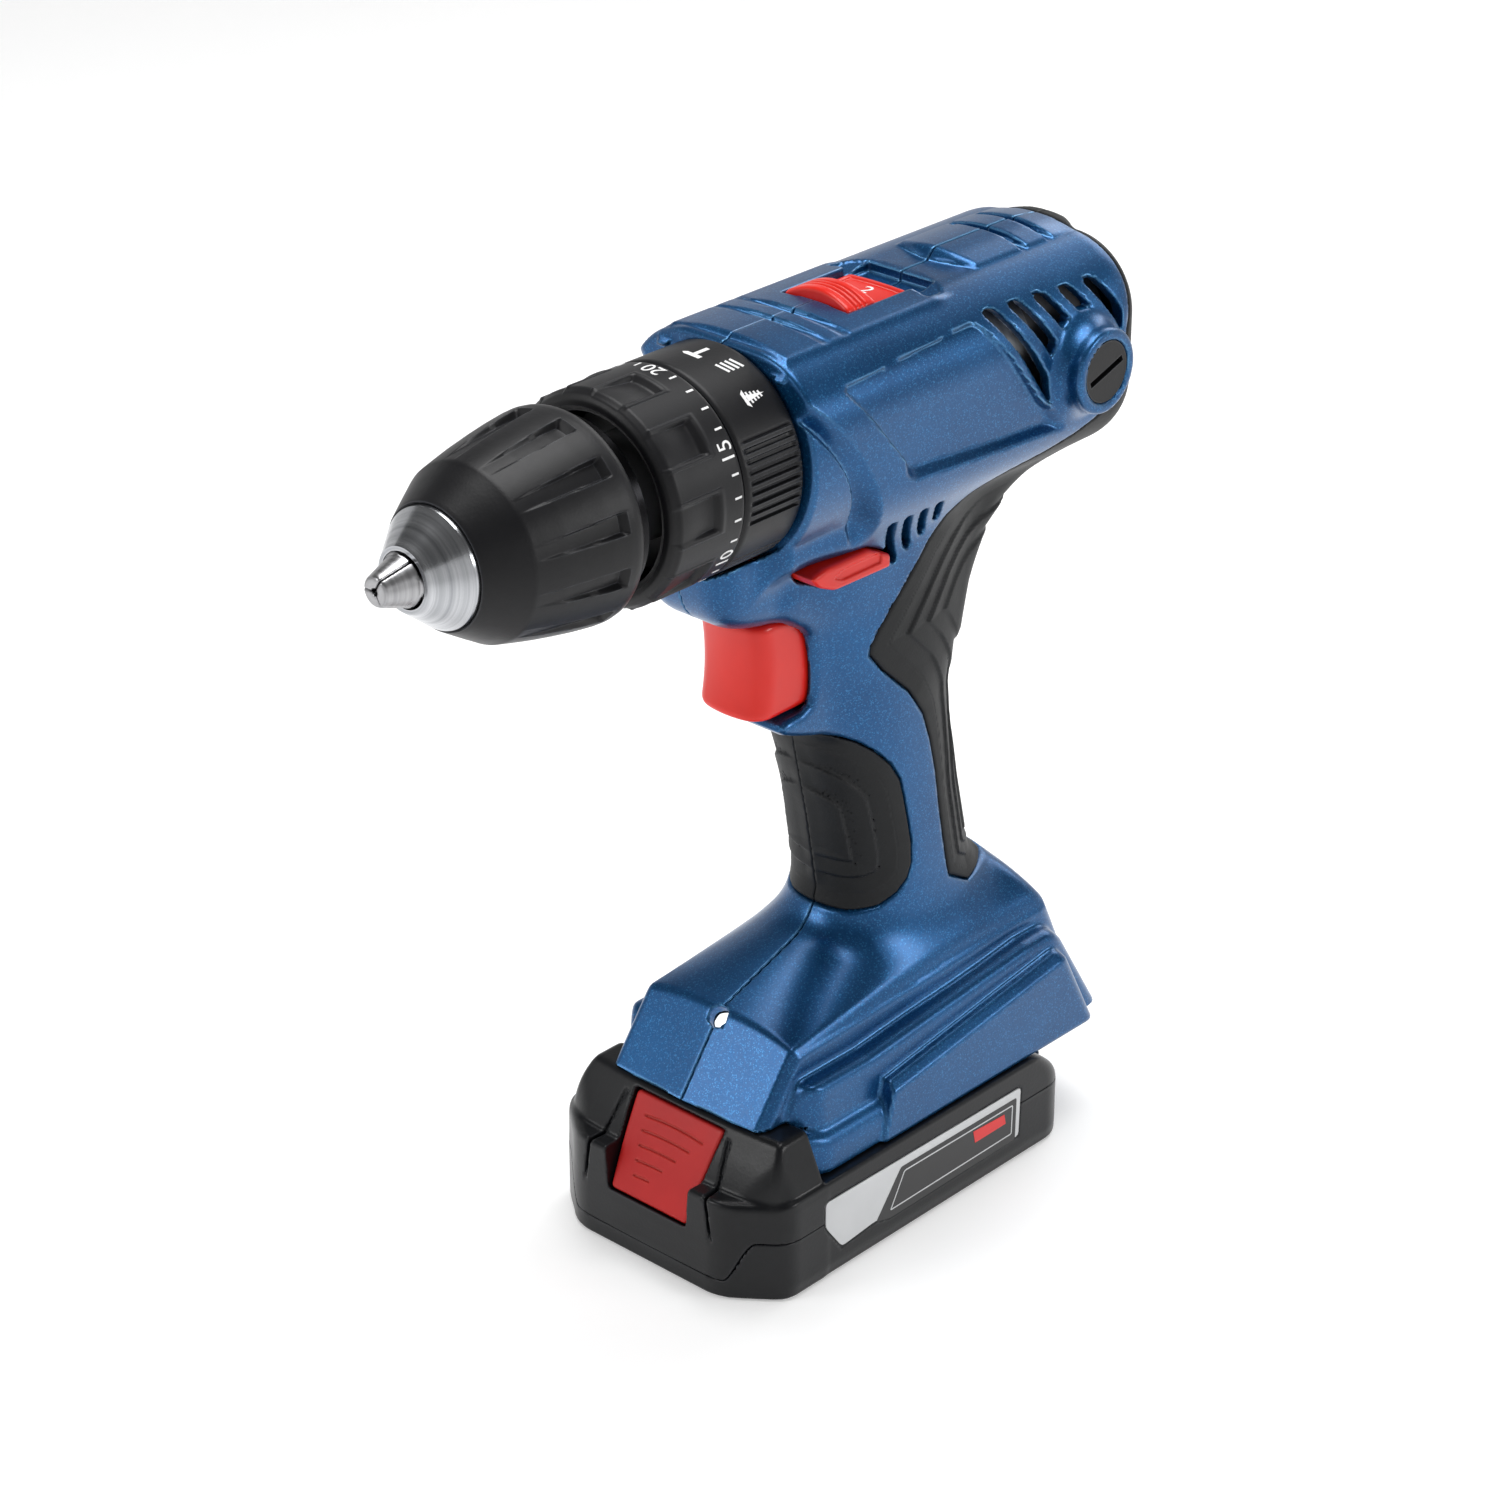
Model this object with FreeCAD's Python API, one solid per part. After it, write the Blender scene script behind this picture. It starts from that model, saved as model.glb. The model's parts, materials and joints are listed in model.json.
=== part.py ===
# Cordless hammer drill with a slide-on battery pack, built as an assembly.
# Millimetres. +X is the drilling direction, +Y the tool's left side, +Z up.
# The origin is the centre of the battery's resting face.
import FreeCAD, Part
import math
import os
from FreeCAD import Vector

# Drive axis and housing
axis_z = 206.0            # drive axis above the resting face
body_front = 33.0         # front face of the blue housing
body_rear = -86.0         # rear end of the motor housing
body_half_width = 29.0
body_top = 26.5           # housing top above the drive axis
body_bottom = 28.0        # housing underside below the drive axis
body_corner = 19.0        # corner radius of the housing section
rear_round = 9.0          # rounding of the rear end
deck_rise = 2.2           # raised deck behind the gear selector
deck_half_width = 10.5
deck_rear_inset = 4.0     # deck end ahead of the rear face
deck_front = -30.0
wall = 2.8
grip_thickness = 1.6
gap = 0.3                 # clearance between pieces that move past each other
fit = 0.1                 # running clearance of turning and sliding fits

# Handle sections: share of the way up, centre in X, half depth, half width
handle_drop = 24.0        # highest section, below the drive axis
handle_sections = (
    (0.0, -25.5, 26.0, 20.0),
    (0.18, -24.0, 24.0, 18.0),
    (0.34, -20.0, 23.5, 18.0),
    (0.5, -16.0, 24.0, 18.0),
    (0.66, -13.0, 25.0, 18.0),
    (1.0, -6.0, 36.0, 21.0),
)
saddle_half_width = 14.0
chin_half_width = 13.0
chin_front = 46.0
front_grip_drop = 10.0    # top of the front grip below the trigger

# Battery pack: the cells set its width, length and height
cell_radius = 9.2
cell_length = 65.0
cell_count = 5
cell_gap = 0.3            # between neighbouring cells
cell_floor = 2.4          # underside of the cells
cell_middle = -1.5        # middle of the row of cells
cell_room = 0.4           # clearance round the row
cell_end_room = 5.0       # from a cell's end to the outside of the pack
row_rear_room = 9.35      # from the row's room to the rear of the pack
row_front_room = 15.35    # from the row's room to the front of the pack
cell_pitch = 2 * cell_radius + cell_gap
row_half = cell_count * cell_pitch / 2 + cell_room
cell_top = cell_floor + 2 * cell_radius
battery_half_width = cell_length / 2 + cell_end_room
battery_rear = cell_middle - row_half - row_rear_room
battery_front = cell_middle + row_half + row_front_room
battery_corner = 6.0
battery_seam = cell_top - 5.0     # joint between the two battery cases
battery_wall = 2.2
block_rear = battery_front - 22.6     # rear face of the battery's front block

# Foot, which sits on the battery and carries its rails
skirt_room = 6.2          # from the cells' top to the lower edge of the foot's skirts
foot_bottom = cell_top + skirt_room
foot_half_width = battery_half_width - 1.5
foot_front = battery_front - 14.2
foot_rear = battery_rear - 2.0
channel_half_width = battery_half_width - 9.0
channel_top = foot_bottom + 11.5
floor_plate = 2.0
rail_depth = 3.2
rail_low = foot_bottom + 3.3
rail_high = rail_low + 2.4
block_top = channel_top + 1.2
handle_low = foot_bottom + 31.0   # lowest handle section, inside the foot
grip_low = foot_bottom + 45.0     # lower end of the rear grip
front_grip_low = grip_low + 1.5

# Gear train: three planet sets, each 15 : 12 : 39
gear_module = 0.9
pressure_angle = math.radians(25.0)
sun_teeth = 15
planet_teeth = 12
ring_teeth = sun_teeth + 2 * planet_teeth
planet_count = 3
tooth_height = 0.8        # addendum over module
tooth_root = 1.0          # dedendum over module
flank_clearance = 0.05
case_inner = 20.6
case_outer = 22.0
case_rear = 2.0
case_front = 42.5
pin_radius = 1.5
carrier_radius = 15.5
shift_travel = 6.0
shift_ring_width = 7.0

# Motor
rotor_radius = 13.5
magnet_inner = 14.2
magnet_outer = 19.5
can_outer = 22.0
can_rear = -52.0
can_front = -14.0
shaft_radius = 2.5
commutator_radius = 8.0
brush_x = -62.0
brush_half = 3.0
brush_cap_radius = 7.6
brush_boss_radius = 10.4
brush_boss_face = 36.0    # boss face from the middle plane
cap_slot_tilt = 18.0      # screwdriver slot across a brush cap, from level

# Front end
mode_ring_rear = body_front + 0.4
ring_split = 52.5         # between the mode ring and the torque ring
torque_ring_front = 75.3
ring_outer = 25.6
ring_wall = 2.2
nose_outer = 13.0
nose_front = 72.5
spindle_radius = 6.0
ratchet_gap = 1.4
hammer_stroke = 1.2

# Chuck
chuck_rear = 79.4
sleeve_rear = 83.4
sleeve_front = 123.0
jaw_tip = 139.7
jaw_angle = math.radians(15.0)
jaw_radius = 3.6
jaw_length = 36.0
jaw_cross = 142.0         # where the jaws' axes meet the drive axis
smallest_bit = 0.75       # radius of the thinnest bit
jaw_count = 3

# Controls
trigger_front = 31.0
trigger_rear = 9.0
trigger_half_width = 10.4
trigger_drop = 68.0       # trigger's lower end below the drive axis
trigger_height = 25.0
trigger_low = axis_z - trigger_drop
trigger_high = trigger_low + trigger_height
trigger_travel = 6.0
button_travel = 3.0
selector_bar_half = 22.5  # half length of the direction bar, side to side
selector_slot = 0.35

parts = {}


# Building blocks

def box(x0, x1, y0, y1, z0, z1):
    return Part.makeBox(x1 - x0, y1 - y0, z1 - z0, Vector(x0, y0, z0))


def rod(start, end, radius):
    along = end - start
    return Part.makeCylinder(radius, along.Length, start, along)


def prism(points, direction):
    face = Part.Face(Part.makePolygon(points + [points[0]]))
    return face.extrude(direction)


def shrink(points, inset):
    """The same outline, moved inwards by inset."""
    if not inset:
        return points
    face = Part.Face(Part.makePolygon(points + [points[0]]))
    return [v.Point for v in face.makeOffset2D(-inset).OuterWire.OrderedVertexes]


def side_plate(outline, half_width, inset=0.0):
    """An outline in X and Z, carried across from -half_width to half_width."""
    points = shrink([Vector(x, 0, z) for x, z in outline], inset)
    half = half_width - inset
    return prism([p - Vector(0, half, 0) for p in points], Vector(0, 2 * half, 0))


def plan_plate(outline, z0, z1, inset=0.0):
    points = shrink([Vector(x, y, 0) for x, y in outline], inset)
    return prism([p + Vector(0, 0, z0) for p in points], Vector(0, 0, z1 - z0))


def cross_plate(outline, x0, x1, inset=0.0):
    points = shrink([Vector(0, y, z) for y, z in outline], inset)
    return prism([p + Vector(x0, 0, 0) for p in points], Vector(x1 - x0, 0, 0))


def turned(profile):
    """A solid turned about the drive axis, from points of X and radius."""
    points = [Vector(x, 0, axis_z + r) for x, r in profile]
    face = Part.Face(Part.makePolygon(points + [points[0]]))
    return face.revolve(Vector(0, 0, axis_z), Vector(1, 0, 0), 360)


def tube(x0, x1, inner, outer):
    if not inner:
        return Part.makeCylinder(outer, x1 - x0, Vector(x0, 0, axis_z), Vector(1, 0, 0))
    return turned([(x0, inner), (x1, inner), (x1, outer), (x0, outer)])


def fuse(shapes):
    shapes = list(shapes)
    return shapes[0].fuse(shapes[1:]) if len(shapes) > 1 else shapes[0]


def mirrored(points):
    """The outline's points and their mirror images across the middle plane."""
    return points + [(-y, z) for y, z in reversed(points)]


def about_axis(shape, degrees):
    turned_shape = shape.copy()
    turned_shape.rotate(Vector(0, 0, axis_z), Vector(1, 0, 0), degrees)
    return turned_shape


def coil(start, axis, length, radius, wire, turns):
    """A spring drawn as separate closed turns between two end rings."""
    rings = []
    for i in range(turns):
        place = start + axis * (wire + i * (length - 2 * wire) / (turns - 1))
        rings.append(Part.makeTorus(radius, wire, place, axis))
    bar_start = start + axis * wire
    side = axis.cross(Vector(0, 1, 0))
    if side.Length < 0.1:
        side = axis.cross(Vector(0, 0, 1))
    side.normalize()
    bar_start += side * radius
    link = rod(bar_start, bar_start + axis * (length - 2 * wire), wire * 0.7)
    return fuse(rings + [link])


# Gears

def tooth_half_angle(radius, teeth, thinning):
    pitch = gear_module * teeth / 2
    base = pitch * math.cos(pressure_angle)
    at_pitch = math.pi / (2 * teeth) - thinning / pitch
    at_pitch += math.tan(pressure_angle) - pressure_angle
    if radius <= base:
        return at_pitch
    lean = math.acos(base / radius)
    return at_pitch - (math.tan(lean) - lean)


def gear_outline(teeth, addendum, dedendum, thinning, steps=3):
    """An involute outline with a tooth centred on the +Y direction."""
    pitch = gear_module * teeth / 2
    base = pitch * math.cos(pressure_angle)
    tip = pitch + addendum
    root = pitch - dedendum
    start = max(root, base)
    radii = [start + (tip - start) * i / steps for i in range(steps + 1)]
    if root < base:
        radii = [root] + radii
    outline = []
    for tooth in range(teeth):
        middle = 2 * math.pi * tooth / teeth
        rising = [(r, middle - tooth_half_angle(r, teeth, thinning)) for r in radii]
        falling = [(r, middle + tooth_half_angle(r, teeth, thinning)) for r in reversed(radii)]
        outline += rising + falling
    return [Vector(0, r * math.cos(a), r * math.sin(a)) for r, a in outline]


def outer_gear(teeth, x0, x1, height=tooth_height, root=tooth_root, thinning=flank_clearance):
    outline = gear_outline(teeth, height * gear_module, root * gear_module, thinning)
    blank = prism([p + Vector(x0, 0, 0) for p in outline], Vector(x1 - x0, 0, 0))
    blank.translate(Vector(0, 0, axis_z))
    return blank


def ring_gear(x0, x1, outer):
    void = outer_gear(ring_teeth, x0 - 1, x1 + 1, tooth_root, tooth_height, -flank_clearance)
    return tube(x0, x1, 0, outer).cut(about_axis(void, 180.0 / ring_teeth))


planet_orbit = gear_module * (sun_teeth + planet_teeth) / 2


def planet(index, x0, x1):
    """A planet wheel in mesh with a sun whose tooth points along +Y."""
    wheel = outer_gear(planet_teeth, x0, x1)
    wheel = wheel.cut(tube(x0 - 1, x1 + 1, 0, pin_radius + fit / 2))
    direction = index * 360.0 / planet_count
    wheel = about_axis(wheel, 180.0 + direction + 180.0 / planet_teeth)
    angle = math.radians(direction)
    wheel.translate(Vector(0, planet_orbit * math.cos(angle), planet_orbit * math.sin(angle)))
    return wheel


def carrier(plate_rear, plate_front, pins_rear, bore=0.0):
    """A planet carrier: a plate with the planets' pins on its rear side."""
    pieces = [tube(plate_rear, plate_front, bore, carrier_radius)]
    for i in range(planet_count):
        angle = 2 * math.pi * i / planet_count
        place = Vector(pins_rear, planet_orbit * math.cos(angle), axis_z + planet_orbit * math.sin(angle))
        pieces.append(rod(place, place + Vector(plate_rear - pins_rear, 0, 0), pin_radius))
    return fuse(pieces)


# Housing, as one body that can be shrunk by an inset

def rounded_section(x, inset):
    half = body_half_width - inset
    low = axis_z - body_bottom + inset
    high = axis_z + body_top - inset
    r = body_corner - inset
    d = r * (1 - math.sqrt(0.5))
    corners = ((half, high, 1, 1), (-half, high, -1, 1), (-half, low, -1, -1), (half, low, 1, -1))
    edges = []
    ends = []
    for y, z, sy, sz in corners:
        on_side = Vector(x, y, z - sz * r)
        on_level = Vector(x, y - sy * r, z)
        middle = Vector(x, y - sy * d, z - sz * d)
        first, last = (on_side, on_level) if sy * sz > 0 else (on_level, on_side)
        edges.append(Part.Arc(first, middle, last).toShape())
        ends.append((first, last))
    for i in range(4):
        edges.append(Part.LineSegment(ends[i][1], ends[(i + 1) % 4][0]).toShape())
    return Part.Wire(Part.__sortEdges__(edges))


def barrel(inset=0.0):
    rear = body_rear + inset
    solid = Part.Face(rounded_section(rear, inset)).extrude(Vector(body_front - rear, 0, 0))
    edges = [e for e in solid.Edges if all(abs(v.Point.x - rear) < 1e-6 for v in e.Vertexes)]
    return solid.makeFillet(rear_round - inset, edges)


def deck(inset=0.0):
    low = axis_z + body_top - 6.0
    high = axis_z + body_top + deck_rise
    rear = body_rear + deck_rear_inset
    outline = [(rear, low), (rear, high - 3.0), (rear + 3.0, high),
               (deck_front - 4.0, high), (deck_front, high - deck_rise), (deck_front, low)]
    return side_plate(outline, deck_half_width, inset)


def handle(inset=0.0):
    high = axis_z - handle_drop
    wires = []
    for share, x, depth, width in handle_sections:
        z = handle_low + share * (high - handle_low)
        ellipse = Part.Ellipse(Vector(x, 0, z), depth - inset, width - inset)
        wires.append(Part.Wire(ellipse.toShape()))
    return Part.makeLoft(wires, True, True)


# Outlines in X and in height from the drive axis, unless they say otherwise
saddle_outline = [(-79.0, -18.0), (-74.0, -28.5), (-58.0, -35.0), (-44.0, -50.0), (-36.0, -72.0),
                  (-10.0, -72.0), (-10.0, -18.0)]
chin_outline = [(4.0, -18.0), (chin_front - 2.0, -18.0), (chin_front, -28.0), (chin_front - 2.0, -36.0),
                (chin_front - 9.0, -41.6), (4.0, -42.4)]


def from_axis(outline):
    return [(x, axis_z + z) for x, z in outline]


def saddle(inset=0.0):
    return side_plate(from_axis(saddle_outline), saddle_half_width, inset)


def chin(inset=0.0):
    return side_plate(from_axis(chin_outline), chin_half_width, inset)


def ring_room(inset=0.0):
    """The space that the mode ring and the torque ring turn in, ahead of the housing."""
    return tube(body_front, body_front + 40, 0, ring_outer + 0.8 + inset)


# Foot outlines: from the side, across and from above
foot_side = [(foot_rear, foot_bottom), (foot_rear + 3.0, foot_bottom + 23.0),
             (foot_rear + 11.0, foot_bottom + 31.5), (foot_rear + 13.0, foot_bottom + 39.0),
             (2.0, foot_bottom + 42.0), (foot_front - 12.5, foot_bottom + 29.0),
             (foot_front, block_top + 0.6), (block_rear + 0.6, block_top + 0.6),
             (block_rear - 0.4, foot_bottom)]
foot_cross = mirrored([(foot_half_width, foot_bottom), (foot_half_width, foot_bottom + 15.0),
                       (foot_half_width - 6.0, foot_bottom + 26.0),
                       (foot_half_width - 12.0, foot_bottom + 32.5),
                       (foot_half_width - 19.0, foot_bottom + 45.0)])
foot_plan = [(foot_front, 15.0 - foot_half_width), (foot_front - 7.4, 4.0 - foot_half_width),
             (foot_front - 12.8, -foot_half_width), (foot_rear + 4.0, -foot_half_width),
             (foot_rear, 4.0 - foot_half_width), (foot_rear, foot_half_width - 4.0),
             (foot_rear + 4.0, foot_half_width), (foot_front - 12.8, foot_half_width),
             (foot_front - 7.4, foot_half_width - 4.0), (foot_front, foot_half_width - 15.0)]


def foot(inset=0.0):
    solid = side_plate(foot_side, foot_half_width, inset)
    solid = solid.common(cross_plate(foot_cross, foot_rear, foot_front, inset))
    return solid.common(plan_plate(foot_plan, 0, axis_z, inset))


def brush_bosses(inset=0.0):
    reach = brush_boss_face - (grip_thickness if inset else 0)
    return rod(Vector(brush_x, -reach, axis_z), Vector(brush_x, reach, axis_z), brush_boss_radius - inset)


def outer_body(inset=0.0):
    solid = fuse([barrel(inset), deck(inset), handle(inset), saddle(inset), chin(inset), foot(inset)])
    return solid.cut(ring_room(inset))


rear_grip_outline = from_axis([(-95.0, 34.0), (-78.0, 34.0), (-80.0, 20.0), (-77.0, 0.0), (-73.0, -13.0),
                               (-58.0, -19.0), (-34.0, -22.0), (-19.0, -30.0), (-9.0, -43.0),
                               (0.0, -58.0), (-20.0, -79.0)])
rear_grip_outline += [(-28.0, grip_low + 27.0), (-30.0, grip_low), (-60.0, grip_low),
                      (-95.0, grip_low + 78.0)]
front_grip_high = trigger_low - front_grip_drop
front_grip_outline = [(25.0, front_grip_high), (0.0, front_grip_high - 4.0), (-11.0, front_grip_high - 13.0),
                      (-17.0, front_grip_low + 18.5), (-14.0, front_grip_low + 6.5),
                      (-4.0, front_grip_low), (25.0, front_grip_low)]
head_screws = ((-58.0, -28.0), (-30.5, -56.0), (chin_front - 11.0, -34.5))
foot_screws = ((-31.0, 65.0), (22.0, 22.0), (-46.0, 22.0))
screw_places = from_axis(head_screws) + [(x, foot_bottom + z) for x, z in foot_screws]
boss_radius = 3.6
rib_width = 2.0
screw_radius = 1.45
screw_head_radius = 3.0
screw_seat = -7.0         # where the screw heads sit, right of the middle plane
screw_reach = 8.0


def across(x, z, y0, y1, radius):
    return rod(Vector(x, y0, z), Vector(x, y1, z), radius)


def housing():
    outer = outer_body()
    skin = outer.cut(outer_body(grip_thickness))
    keep_clear = brush_bosses().fuse(across(brush_x, axis_z, -60, 60, brush_boss_radius))
    rear_grip = skin.common(side_plate(rear_grip_outline, 60)).cut(keep_clear)
    front_grip = skin.common(side_plate(front_grip_outline, 60))
    hollow = fuse([barrel(wall), deck(wall), handle(wall), saddle(wall), chin(wall),
                   foot(wall).cut(box(-90, 90, -60, 60, 0, channel_top + floor_plate))])
    hollow = hollow.cut(tube(body_front - wall, body_front + 40, 0, ring_outer + 0.8 + wall))
    shell = outer.cut(fuse([rear_grip, front_grip])).cut(hollow)
    shell = shell.fuse(brush_bosses().cut(tube(body_rear, body_front, 0, can_outer + 3.0)))

    # ribs that hold the motor and the gear case
    core = barrel(grip_thickness)
    ribs = []
    for x in (-79.0, -46.0, -22.0, 6.0):
        slice_room = box(x, x + rib_width, -60, 60, axis_z - 46, axis_z + 34)
        ribs.append(core.common(slice_room).cut(tube(x - 1, x + rib_width + 1, 0, can_outer + 0.6)))
    inner_body = outer_body(grip_thickness)
    bosses = [across(x, z, -60, 60, boss_radius).common(inner_body) for x, z in screw_places]
    shell = fuse([shell] + ribs + bosses)

    # openings
    shell = shell.cut(fuse([
        tube(body_front - 6, body_front + 20, 0, case_outer + fork_room),
        box(trigger_rear - trigger_travel - 1, 45, -trigger_half_width - gap, trigger_half_width + gap,
            trigger_low - gap, trigger_high + gap),
        box(bar_rear - selector_slot, bar_front + selector_slot, -60, 60,
            bar_low - selector_slot, bar_high + selector_slot),
        box(selector_rear - selector_room - gap, selector_front + gap, -selector_half_width - gap,
            selector_half_width + gap, axis_z + body_top - wall - 1, axis_z + body_top + 10),
        box(foot_rear + channel_wall, 70, -channel_half_width, channel_half_width, 0, channel_top),
        box(block_rear - gap, 70, -60, 60, 0, block_top + gap),
        box(terminal_rear - gap, terminal_front + gap, -terminal_half_width - gap,
            terminal_half_width + gap, channel_top - 1, channel_top + floor_plate + 1),
        across(brush_x, axis_z, -60, 60, brush_cap_radius + fit),
        led_solid(fit),
        box(selector_front - 7.0 - shift_travel - gap, groove_middle + 2.0, -2.5, 2.5,
            fork_top - 1.8, axis_z + body_top - wall),
    ]))
    for x, z in screw_places:
        shell = shell.cut(fuse([across(x, z, 0, screw_reach, screw_radius),
                                across(x, z, screw_seat, 0, screw_radius + 0.25),
                                across(x, z, -60, screw_seat, screw_head_radius + 0.2)]))
    shell = shell.cut(vents())

    # rails that the battery hangs on
    for side in (-1, 1):
        y0, y1 = sorted((side * (channel_half_width - rail_depth), side * (channel_half_width + 0.5)))
        shell = shell.fuse(box(foot_rear + channel_wall + 1.0, block_rear - 2.4, y0, y1, rail_low, rail_high))
    left_half = box(-100, 100, 0, 60, -5, 260)
    right_half = box(-100, 100, -60, 0, -5, 260)
    for side, half in (("left", left_half), ("right", right_half)):
        parts["housing_" + side] = shell.common(half)
        parts["soft_grips_" + side] = Part.makeCompound([rear_grip.common(half), front_grip.common(half)])


channel_wall = 12.0       # from the foot's rear face to the channel for the battery
fork_room = 1.6           # the fork's opening, wider than the gear case
fork_top = axis_z + case_outer + 1.4


def vents():
    """Slanted cooling slots at the rear of the motor, both sides."""
    slots = []
    for i in range(5):
        x = -31.0 - i * 8.5
        outline = from_axis([(x, 18.0), (x - 4.0, 18.0), (x - 11.0, 8.0), (x - 7.0, 8.0)])
        for side in (-1, 1):
            slot = side_plate(outline, 12.0)
            slot.translate(Vector(0, side * 31.0, 0))
            slots.append(slot)
    return fuse(slots)


def housing_screws():
    screws = []
    for x, z in screw_places:
        screws.append(across(x, z, screw_seat, screw_reach, screw_radius))
        head = across(x, z, screw_seat - 2.2, screw_seat, screw_head_radius)
        socket = across(x, z, screw_seat - 3.0, screw_seat - 1.0, 1.3)
        screws.append(head.cut(socket))
    pairs = [screws[i].fuse(screws[i + 1]) for i in range(0, len(screws), 2)]
    parts["housing_screws"] = Part.makeCompound(pairs)


# Motor

def motor():
    can = tube(can_rear, can_front, magnet_outer, can_outer)
    arc_gap = 6.0
    slit = box(can_rear - 1, can_front + 1, -arc_gap / 2, arc_gap / 2, axis_z - 40, axis_z + 40)
    magnets = tube(can_rear + 2, can_front - 2, magnet_inner, magnet_outer).cut(slit)
    parts["motor_can"] = Part.makeCompound([can] + magnets.Solids)

    bearing_rear = body_rear + wall + 1.0
    bearing_front = bearing_rear + 5.0
    bearing_radius = 8.0
    front_plate_rear = -4.0
    bracket_front = can_rear
    bracket = turned([(bearing_rear - 0.6, shaft_radius + 1.0), (bearing_rear, shaft_radius + 1.0),
                      (bearing_rear, bearing_radius), (bearing_front, bearing_radius),
                      (bearing_front, magnet_outer + 0.5),
                      (bracket_front, magnet_outer + 0.5), (bracket_front, can_outer),
                      (bearing_front - 2.0, can_outer), (bearing_front - 2.0, 10.5),
                      (bearing_rear - 0.6, 10.5)])
    tunnel = box(brush_x - brush_half - 1.0, brush_x + brush_half + 1.0, -40, 40,
                 axis_z - brush_half - 2.0, axis_z + brush_half + 2.0)
    bracket = bracket.cut(tunnel)
    parts["motor_end_bracket"] = Part.makeCompound([bracket] + brush_holders())

    parts["motor_front_plate"] = turned([(front_plate_rear, bearing_radius),
                                         (case_rear - 2.0, bearing_radius),
                                         (case_rear - 2.0, 6.5), (case_rear, 6.5), (case_rear, case_outer),
                                         (front_plate_rear, case_outer)])
    bearing_spans = ((bearing_rear, bearing_front), (front_plate_rear, case_rear - 2.0))
    parts["motor_bearings"] = Part.makeCompound(
        [tube(x0, x1, shaft_radius + fit / 2, bearing_radius) for x0, x1 in bearing_spans])

    shaft = tube(bearing_rear, 3.2, 0, shaft_radius)
    parts["rotor_shaft"] = shaft.fuse(outer_gear(sun_teeth, 3.2, 10.8))
    core = tube(-47.0, -20.0, shaft_radius, rotor_radius)
    slots = []
    for i in range(12):
        slot = box(-48.0, -19.0, -0.9, 0.9, axis_z + 7.0, axis_z + rotor_radius + 1.0)
        slots.append(about_axis(slot, 30.0 * i))
    windings = [tube(-53.0, -47.0, shaft_radius, 12.0), tube(-20.0, -15.0, shaft_radius, 12.0)]
    parts["armature"] = Part.makeCompound([core.cut(fuse(slots))] + windings)
    commutator = tube(-71.0, -54.5, shaft_radius, commutator_radius)
    segments = [about_axis(box(-72.0, -56.0, -0.25, 0.25, axis_z + 6.8, axis_z + 9.0), 30.0 * i)
                for i in range(12)]
    parts["commutator"] = commutator.cut(fuse(segments))

    hub = tube(-13.0, -5.5, shaft_radius, 5.0)
    disc = tube(-7.5, -5.5, shaft_radius, 17.5)
    blades = []
    for i in range(9):
        blade = box(-12.5, -7.0, 2.0, 3.2, axis_z + 4.0, axis_z + 17.3)
        blades.append(about_axis(blade, 40.0 * i))
    parts["cooling_fan"] = fuse([hub, disc] + blades).common(tube(-14.0, -5.0, shaft_radius, 17.5))


def brush_bar(side, y0, y1, half):
    low, high = sorted((side * y0, side * y1))
    return box(brush_x - half, brush_x + half, low, high, axis_z - half, axis_z + half)


def brush_holders():
    return [brush_bar(side, 11.0, 30.0, brush_half + 0.9).cut(brush_bar(side, 10.0, 31.0, brush_half + 0.05))
            for side in (-1, 1)]


def brushes():
    blocks, caps = [], []
    for side in (-1, 1):
        blocks.append(brush_bar(side, commutator_radius + 0.15, 19.0, brush_half))
        start = Vector(brush_x, side * 19.0, axis_z)
        blocks.append(coil(start, Vector(0, side, 0), 11.0, 2.0, 0.35, 6))
        outside = brush_boss_face - 0.4
        cap_inside = Vector(brush_x, side * 30.0, axis_z)
        cap_face = Vector(brush_x, side * outside, axis_z)
        cap = rod(cap_inside, cap_face, brush_cap_radius)
        low, high = sorted((side * (outside - 1.6), side * (outside + 1)))
        slot = box(brush_x - 6.2, brush_x + 6.2, low, high, axis_z - 0.8, axis_z + 0.8)
        slot.rotate(Vector(brush_x, 0, axis_z), Vector(0, 1, 0), cap_slot_tilt)
        caps.append(cap.cut(slot))
    parts["carbon_brushes"] = Part.makeCompound(blocks)
    parts["brush_caps"] = Part.makeCompound(caps)


# Gearbox

first_rear = 3.0
first_front = first_rear + 8.0
first_plate = first_front + 0.3
second_sun_front = 23.5
second_rear = 16.5
second_plate = 24.3
third_rear = 28.0
third_front = third_rear + 8.0
third_plate = third_front + 0.3
hub_floor = third_plate + 1.5     # bottom of the output carrier's bore
hub_front = 46.0
hub_radius = 8.1
spindle_flat = 4.5        # from the drive axis to the spindle's drive flats
shift_ring_rest = 19.5    # rear face of the shift ring in second gear
groove_middle = shift_ring_rest + shift_ring_width / 2
fork_pin = 1.1


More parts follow.
